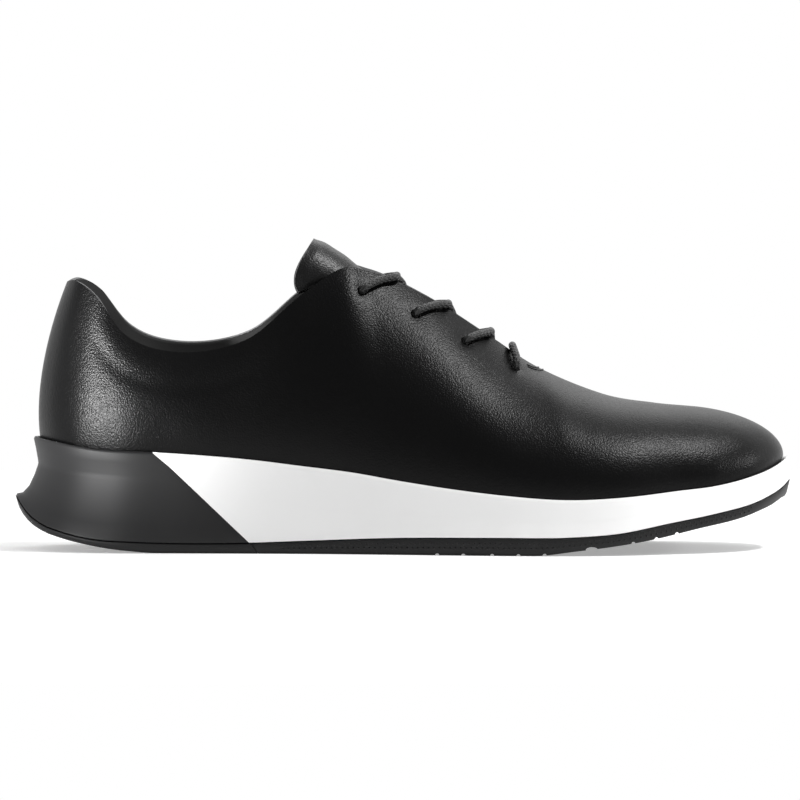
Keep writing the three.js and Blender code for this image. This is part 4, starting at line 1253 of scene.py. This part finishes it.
# Points of each tail from its top eyelet down beside the tongue and back along the footbed: x, lateral y,
# medial y and z.
TAIL_POINTS = [
    (-19, -18.6, 18.2, 93), (-19.8, -19.6, 19, 89), (-20.4, -20.8, 19.6, 83), (-20.8, -22, 20, 76),
    (-21, -23, 20, 69), (-21.2, -23.6, 19.6, 62), (-21.4, -24, 19, 55), (-22, -24.2, 18.4, 48),
    (-23.6, -24.2, 18, 42), (-26.8, -24, 17.6, 37.2), (-31.6, -23.6, 17.2, 34.7), (-38, -23, 16.8, 34.3),
    (-46, -22.4, 16.6, 34.7), (-54, -21.8, 16.6, 35), (-62, -21.2, 16.8, 35.3), (-70, -20.6, 17, 35.6),
    (-78, -20, 17, 35.9), (-86, -19.2, 16.8, 36.2), (-94, -18.2, 16.2, 36.4),
]


def make_laces():
    route = laced_route()
    points, faces, uv = tube(spline(route), LACE_RADIUS)
    lace = mesh_piece("lace", points, faces, [braided_lace], uv=uv, sharp=80)
    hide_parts("lace")
    for side, end, before in (("lateral", route[0], route[1]), ("medial", route[-1], route[-2])):
        inward = (end - before) / np.linalg.norm(end - before)
        column = 1 if side == "lateral" else 2
        hanging = [(point[0], point[column], point[3]) for point in TAIL_POINTS]
        path = spline([end + inward * CLEARANCE, end + inward * LACE_RADIUS, *hanging])
        points, faces, uv = tube(path, LACE_RADIUS)
        tail = mesh_piece(f"lace_tail_{side}", points, faces, [braided_lace], uv=uv, sharp=80)
        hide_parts(f"lace_tail_{side}")
        run = path[-1] - path[-3]
        run /= np.linalg.norm(run)
        middle = path[-1] + run * 0.3
        barrel = np.linspace(0, 18, 25)[:, None] * run + middle
        points, faces, uv = tube(barrel, 1.7, 24)
        aglet = mesh_piece(f"aglet_{side}", points, faces, [aglet_plastic], uv=uv)
        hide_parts(f"aglet_{side}")


make_laces()

# ---------------------------------------------------------------- tread lugs, sidewall beads and stitches


def repeat_tree(name, shape, sides, material):
    """One small shape on every point, turned by the point's own turn. Inputs: its width and its height."""
    tree = bpy.data.node_groups.new(name, "GeometryNodeTree")
    tree.interface.new_socket("Points", in_out="INPUT", socket_type="NodeSocketGeometry")
    tree.interface.new_socket("Width", in_out="INPUT", socket_type="NodeSocketFloat")
    tree.interface.new_socket("Height", in_out="INPUT", socket_type="NodeSocketFloat")
    tree.interface.new_socket("Shapes", in_out="OUTPUT", socket_type="NodeSocketGeometry")
    given, out = tree.nodes.new("NodeGroupInput"), tree.nodes.new("NodeGroupOutput")
    links = tree.links
    if shape == "lug":
        one = tree.nodes.new("GeometryNodeMeshCone")
        one.inputs["Vertices"].default_value = sides
        one.inputs["Radius Top"].default_value = 0.72
        one.inputs["Radius Bottom"].default_value = 1
        one.inputs["Depth"].default_value = 1
    else:
        one = tree.nodes.new("GeometryNodeMeshUVSphere")
        one.inputs["Segments"].default_value = sides
        one.inputs["Rings"].default_value = max(4, sides // 2)
    size = tree.nodes.new("ShaderNodeCombineXYZ")
    for label, source in (("X", "Width"), ("Y", "Width"), ("Z", "Height")):
        links.new(given.outputs[source], size.inputs[label])
    turn = tree.nodes.new("GeometryNodeInputNamedAttribute")
    turn.data_type = "FLOAT_VECTOR"
    turn.inputs["Name"].default_value = "turn"
    rotation = tree.nodes.new("FunctionNodeEulerToRotation")
    links.new(turn.outputs["Attribute"], rotation.inputs[0])
    lay = tree.nodes.new("GeometryNodeInstanceOnPoints")
    links.new(given.outputs["Points"], lay.inputs["Points"])
    links.new(one.outputs["Mesh"], lay.inputs["Instance"])
    links.new(rotation.outputs[0], lay.inputs["Rotation"])
    links.new(size.outputs[0], lay.inputs["Scale"])
    real = tree.nodes.new("GeometryNodeRealizeInstances")
    links.new(lay.outputs[0], real.inputs[0])
    paint = tree.nodes.new("GeometryNodeSetMaterial")
    paint.inputs["Material"].default_value = material
    links.new(real.outputs[0], paint.inputs["Geometry"])
    links.new(paint.outputs[0], out.inputs["Shapes"])
    return tree


def repeated(name, tree, places, directions, width, height, runs=None, smooth_faces=True):
    """The tree's shape at each place, its own Z along a direction, as one finished mesh."""
    points = (np.asarray(places) + FRAME_SHIFT) * MM
    seed = bpy.data.meshes.new(f"{name}_points")
    seed.from_pydata(points.tolist(), [], [])
    turns = []
    for i, direction in enumerate(directions):
        if runs is None:
            turns.append(Vector(direction).to_track_quat("Z", "Y").to_euler())
        else:
            up, run = Vector(direction).normalized(), Vector(runs[i]).normalized()
            turns.append(Matrix((run, up.cross(run), up)).transposed().to_euler())
    layer = seed.attributes.new("turn", "FLOAT_VECTOR", "POINT")
    layer.data.foreach_set("vector", np.array([list(turn) for turn in turns]).ravel())
    carrier = bpy.data.objects.new(f"{name}_carrier", seed)
    bpy.context.collection.objects.link(carrier)
    modifier = carrier.modifiers.new("repeat", "NODES")
    modifier.node_group = tree
    for socket in tree.interface.items_tree:
        if socket.item_type == "SOCKET" and socket.name in ("Width", "Height"):
            modifier[socket.identifier] = (width if socket.name == "Width" else height) * MM
    bpy.context.view_layer.update()
    mesh = bpy.data.meshes.new_from_object(carrier.evaluated_get(bpy.context.evaluated_depsgraph_get()))
    mesh.name = name
    if smooth_faces:
        mesh.polygons.foreach_set("use_smooth", [True] * len(mesh.polygons))
    bpy.data.objects.remove(carrier)
    piece = bpy.data.objects.new(name, mesh)
    bpy.context.collection.objects.link(piece)
    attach(piece, "shoe")
    return piece


LUG_PITCH, LUG_RADIUS = 8.6, 2.7
OUTSOLE_SEAM = -57


def make_tread():
    """Six-sided lugs in staggered rows inside the recess, clear of the grooves and the seam."""
    tree = repeat_tree("tread_lug", "lug", 6, outsole_rubber)
    rows = SOLE_ROWS
    low = edge_point("lateral", rows, outsole_flare(rim_x(rows)) - RECESS_INSET - 4.2, outsole_bottom)
    high = edge_point("medial", rows, outsole_flare(rim_x(rows)) - RECESS_INSET - 4.2, outsole_bottom)
    pieces = {"outsole_heel": [], "outsole_forefoot": []}
    stops = [x for x, _ in GROOVES] + [OUTSOLE_SEAM]
    for i, x in enumerate(np.arange(low[:, 0].min() + 3, low[:, 0].max() - 3, LUG_PITCH * 0.87)):
        if min(abs(x - stop) for stop in stops) < LUG_RADIUS + 0.9:
            continue
        near = np.interp(x, low[:, 0], low[:, 1])
        far = np.interp(x, high[:, 0], high[:, 1])
        count = int((far - near - (i % 2) * LUG_PITCH / 2) / LUG_PITCH)
        middle = (near + far) / 2
        for k in range(count + 1):
            y = middle + (k - count / 2) * LUG_PITCH
            pieces["outsole_heel" if x < OUTSOLE_SEAM else "outsole_forefoot"].append((x, y))
    for name, spots in pieces.items():
        spots = np.array(spots)
        bottom = outsole_bottom(spots[:, 0])
        slope = (outsole_bottom(spots[:, 0] + 1) - outsole_bottom(spots[:, 0] - 1)) / 2
        places = np.column_stack([spots, bottom + RECESS_DEPTH + 0.05])
        down = np.column_stack([slope, 0 * slope, -np.ones(len(slope))])
        repeated(f"{name}_lugs", tree, places, down, LUG_RADIUS, RECESS_DEPTH, smooth_faces=False)


def make_sidewall_beads():
    """Two rows of small beads along the side of the forefoot outsole."""
    tree = repeat_tree("sidewall_bead", "bead", 6, outsole_rubber)
    places, directions = [], []
    for side in SIDES:
        for share, shift in ((0.42, 0), (0.68, 0.5)):
            stations = np.arange(STATIONS[5] + 14, STATIONS[14] + 12, 2.1) + shift * 2.1
            line = between(outsole_bottom, outsole_top, share)
            reach = outsole_flare(rim_x(stations)) - 0.35 * (1 - share)
            spots = edge_point(side, stations, reach, line)
            out = outward(side, stations)
            places += spots.tolist()
            directions += [(x, y, -0.15) for x, y in out]
    repeated("sidewall_beads", tree, places, directions, 0.42, 0.3)


def surface_under(name, x, y):
    """Where a ray straight down meets a finished piece, and the direction straight out of it there."""
    start = (np.array([x, y, 200]) + FRAME_SHIFT) * MM
    _, place, normal, _ = bpy.data.objects[name].ray_cast(Vector(start), Vector((0, 0, -1)))
    return np.array(place) / MM - FRAME_SHIFT, np.array(normal)


# Each row of the crescent: its radius, and the angle from one stitch to the next.
BARTACK_RINGS = [(5.2, 12), (6.9, 9)]
BARTACK_X, BARTACK_STRETCH, BARTACK_HALF_ANGLE = 47.6, 1.15, 78


def make_throat_bartack():
    """A crescent of close stitches that closes the bottom of the throat."""
    tree = repeat_tree("bartack_stitch", "bead", 8, stitch_thread)
    places, directions, runs = [], [], []
    for radius, pitch in BARTACK_RINGS:
        for turn in np.radians(np.arange(-BARTACK_HALF_ANGLE, BARTACK_HALF_ANGLE + 1, pitch)):
            x, y = BARTACK_X + radius * math.cos(turn), BARTACK_STRETCH * radius * math.sin(turn)
            spot, normal = surface_under("upper_leather", x, y)
            along_arc = np.array([-math.sin(turn), math.cos(turn), 0])
            run = along_arc - normal * (along_arc @ normal)
            up = np.cross(normal, run)
            places.append(spot + normal * 0.12)
            directions.append(run)
            runs.append(up)
    repeated("throat_bartack", tree, places, directions, 0.3, 0.75, runs=runs)


make_tread()
make_sidewall_beads()
make_throat_bartack()

# ---------------------------------------------------------------- pieces carried over from the part

CARRIED = {
    "shank": spring_steel,
    "lasting_board": fibre_board,
    "heel_counter": stiff_felt,
    "toe_puff": stiff_felt,
    "facing_reinforcement_lateral": facing_tape,
    "facing_reinforcement_medial": facing_tape,
}
for node, material in CARRIED.items():
    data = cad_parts[node].data
    data.materials.clear()
    data.materials.append(material)
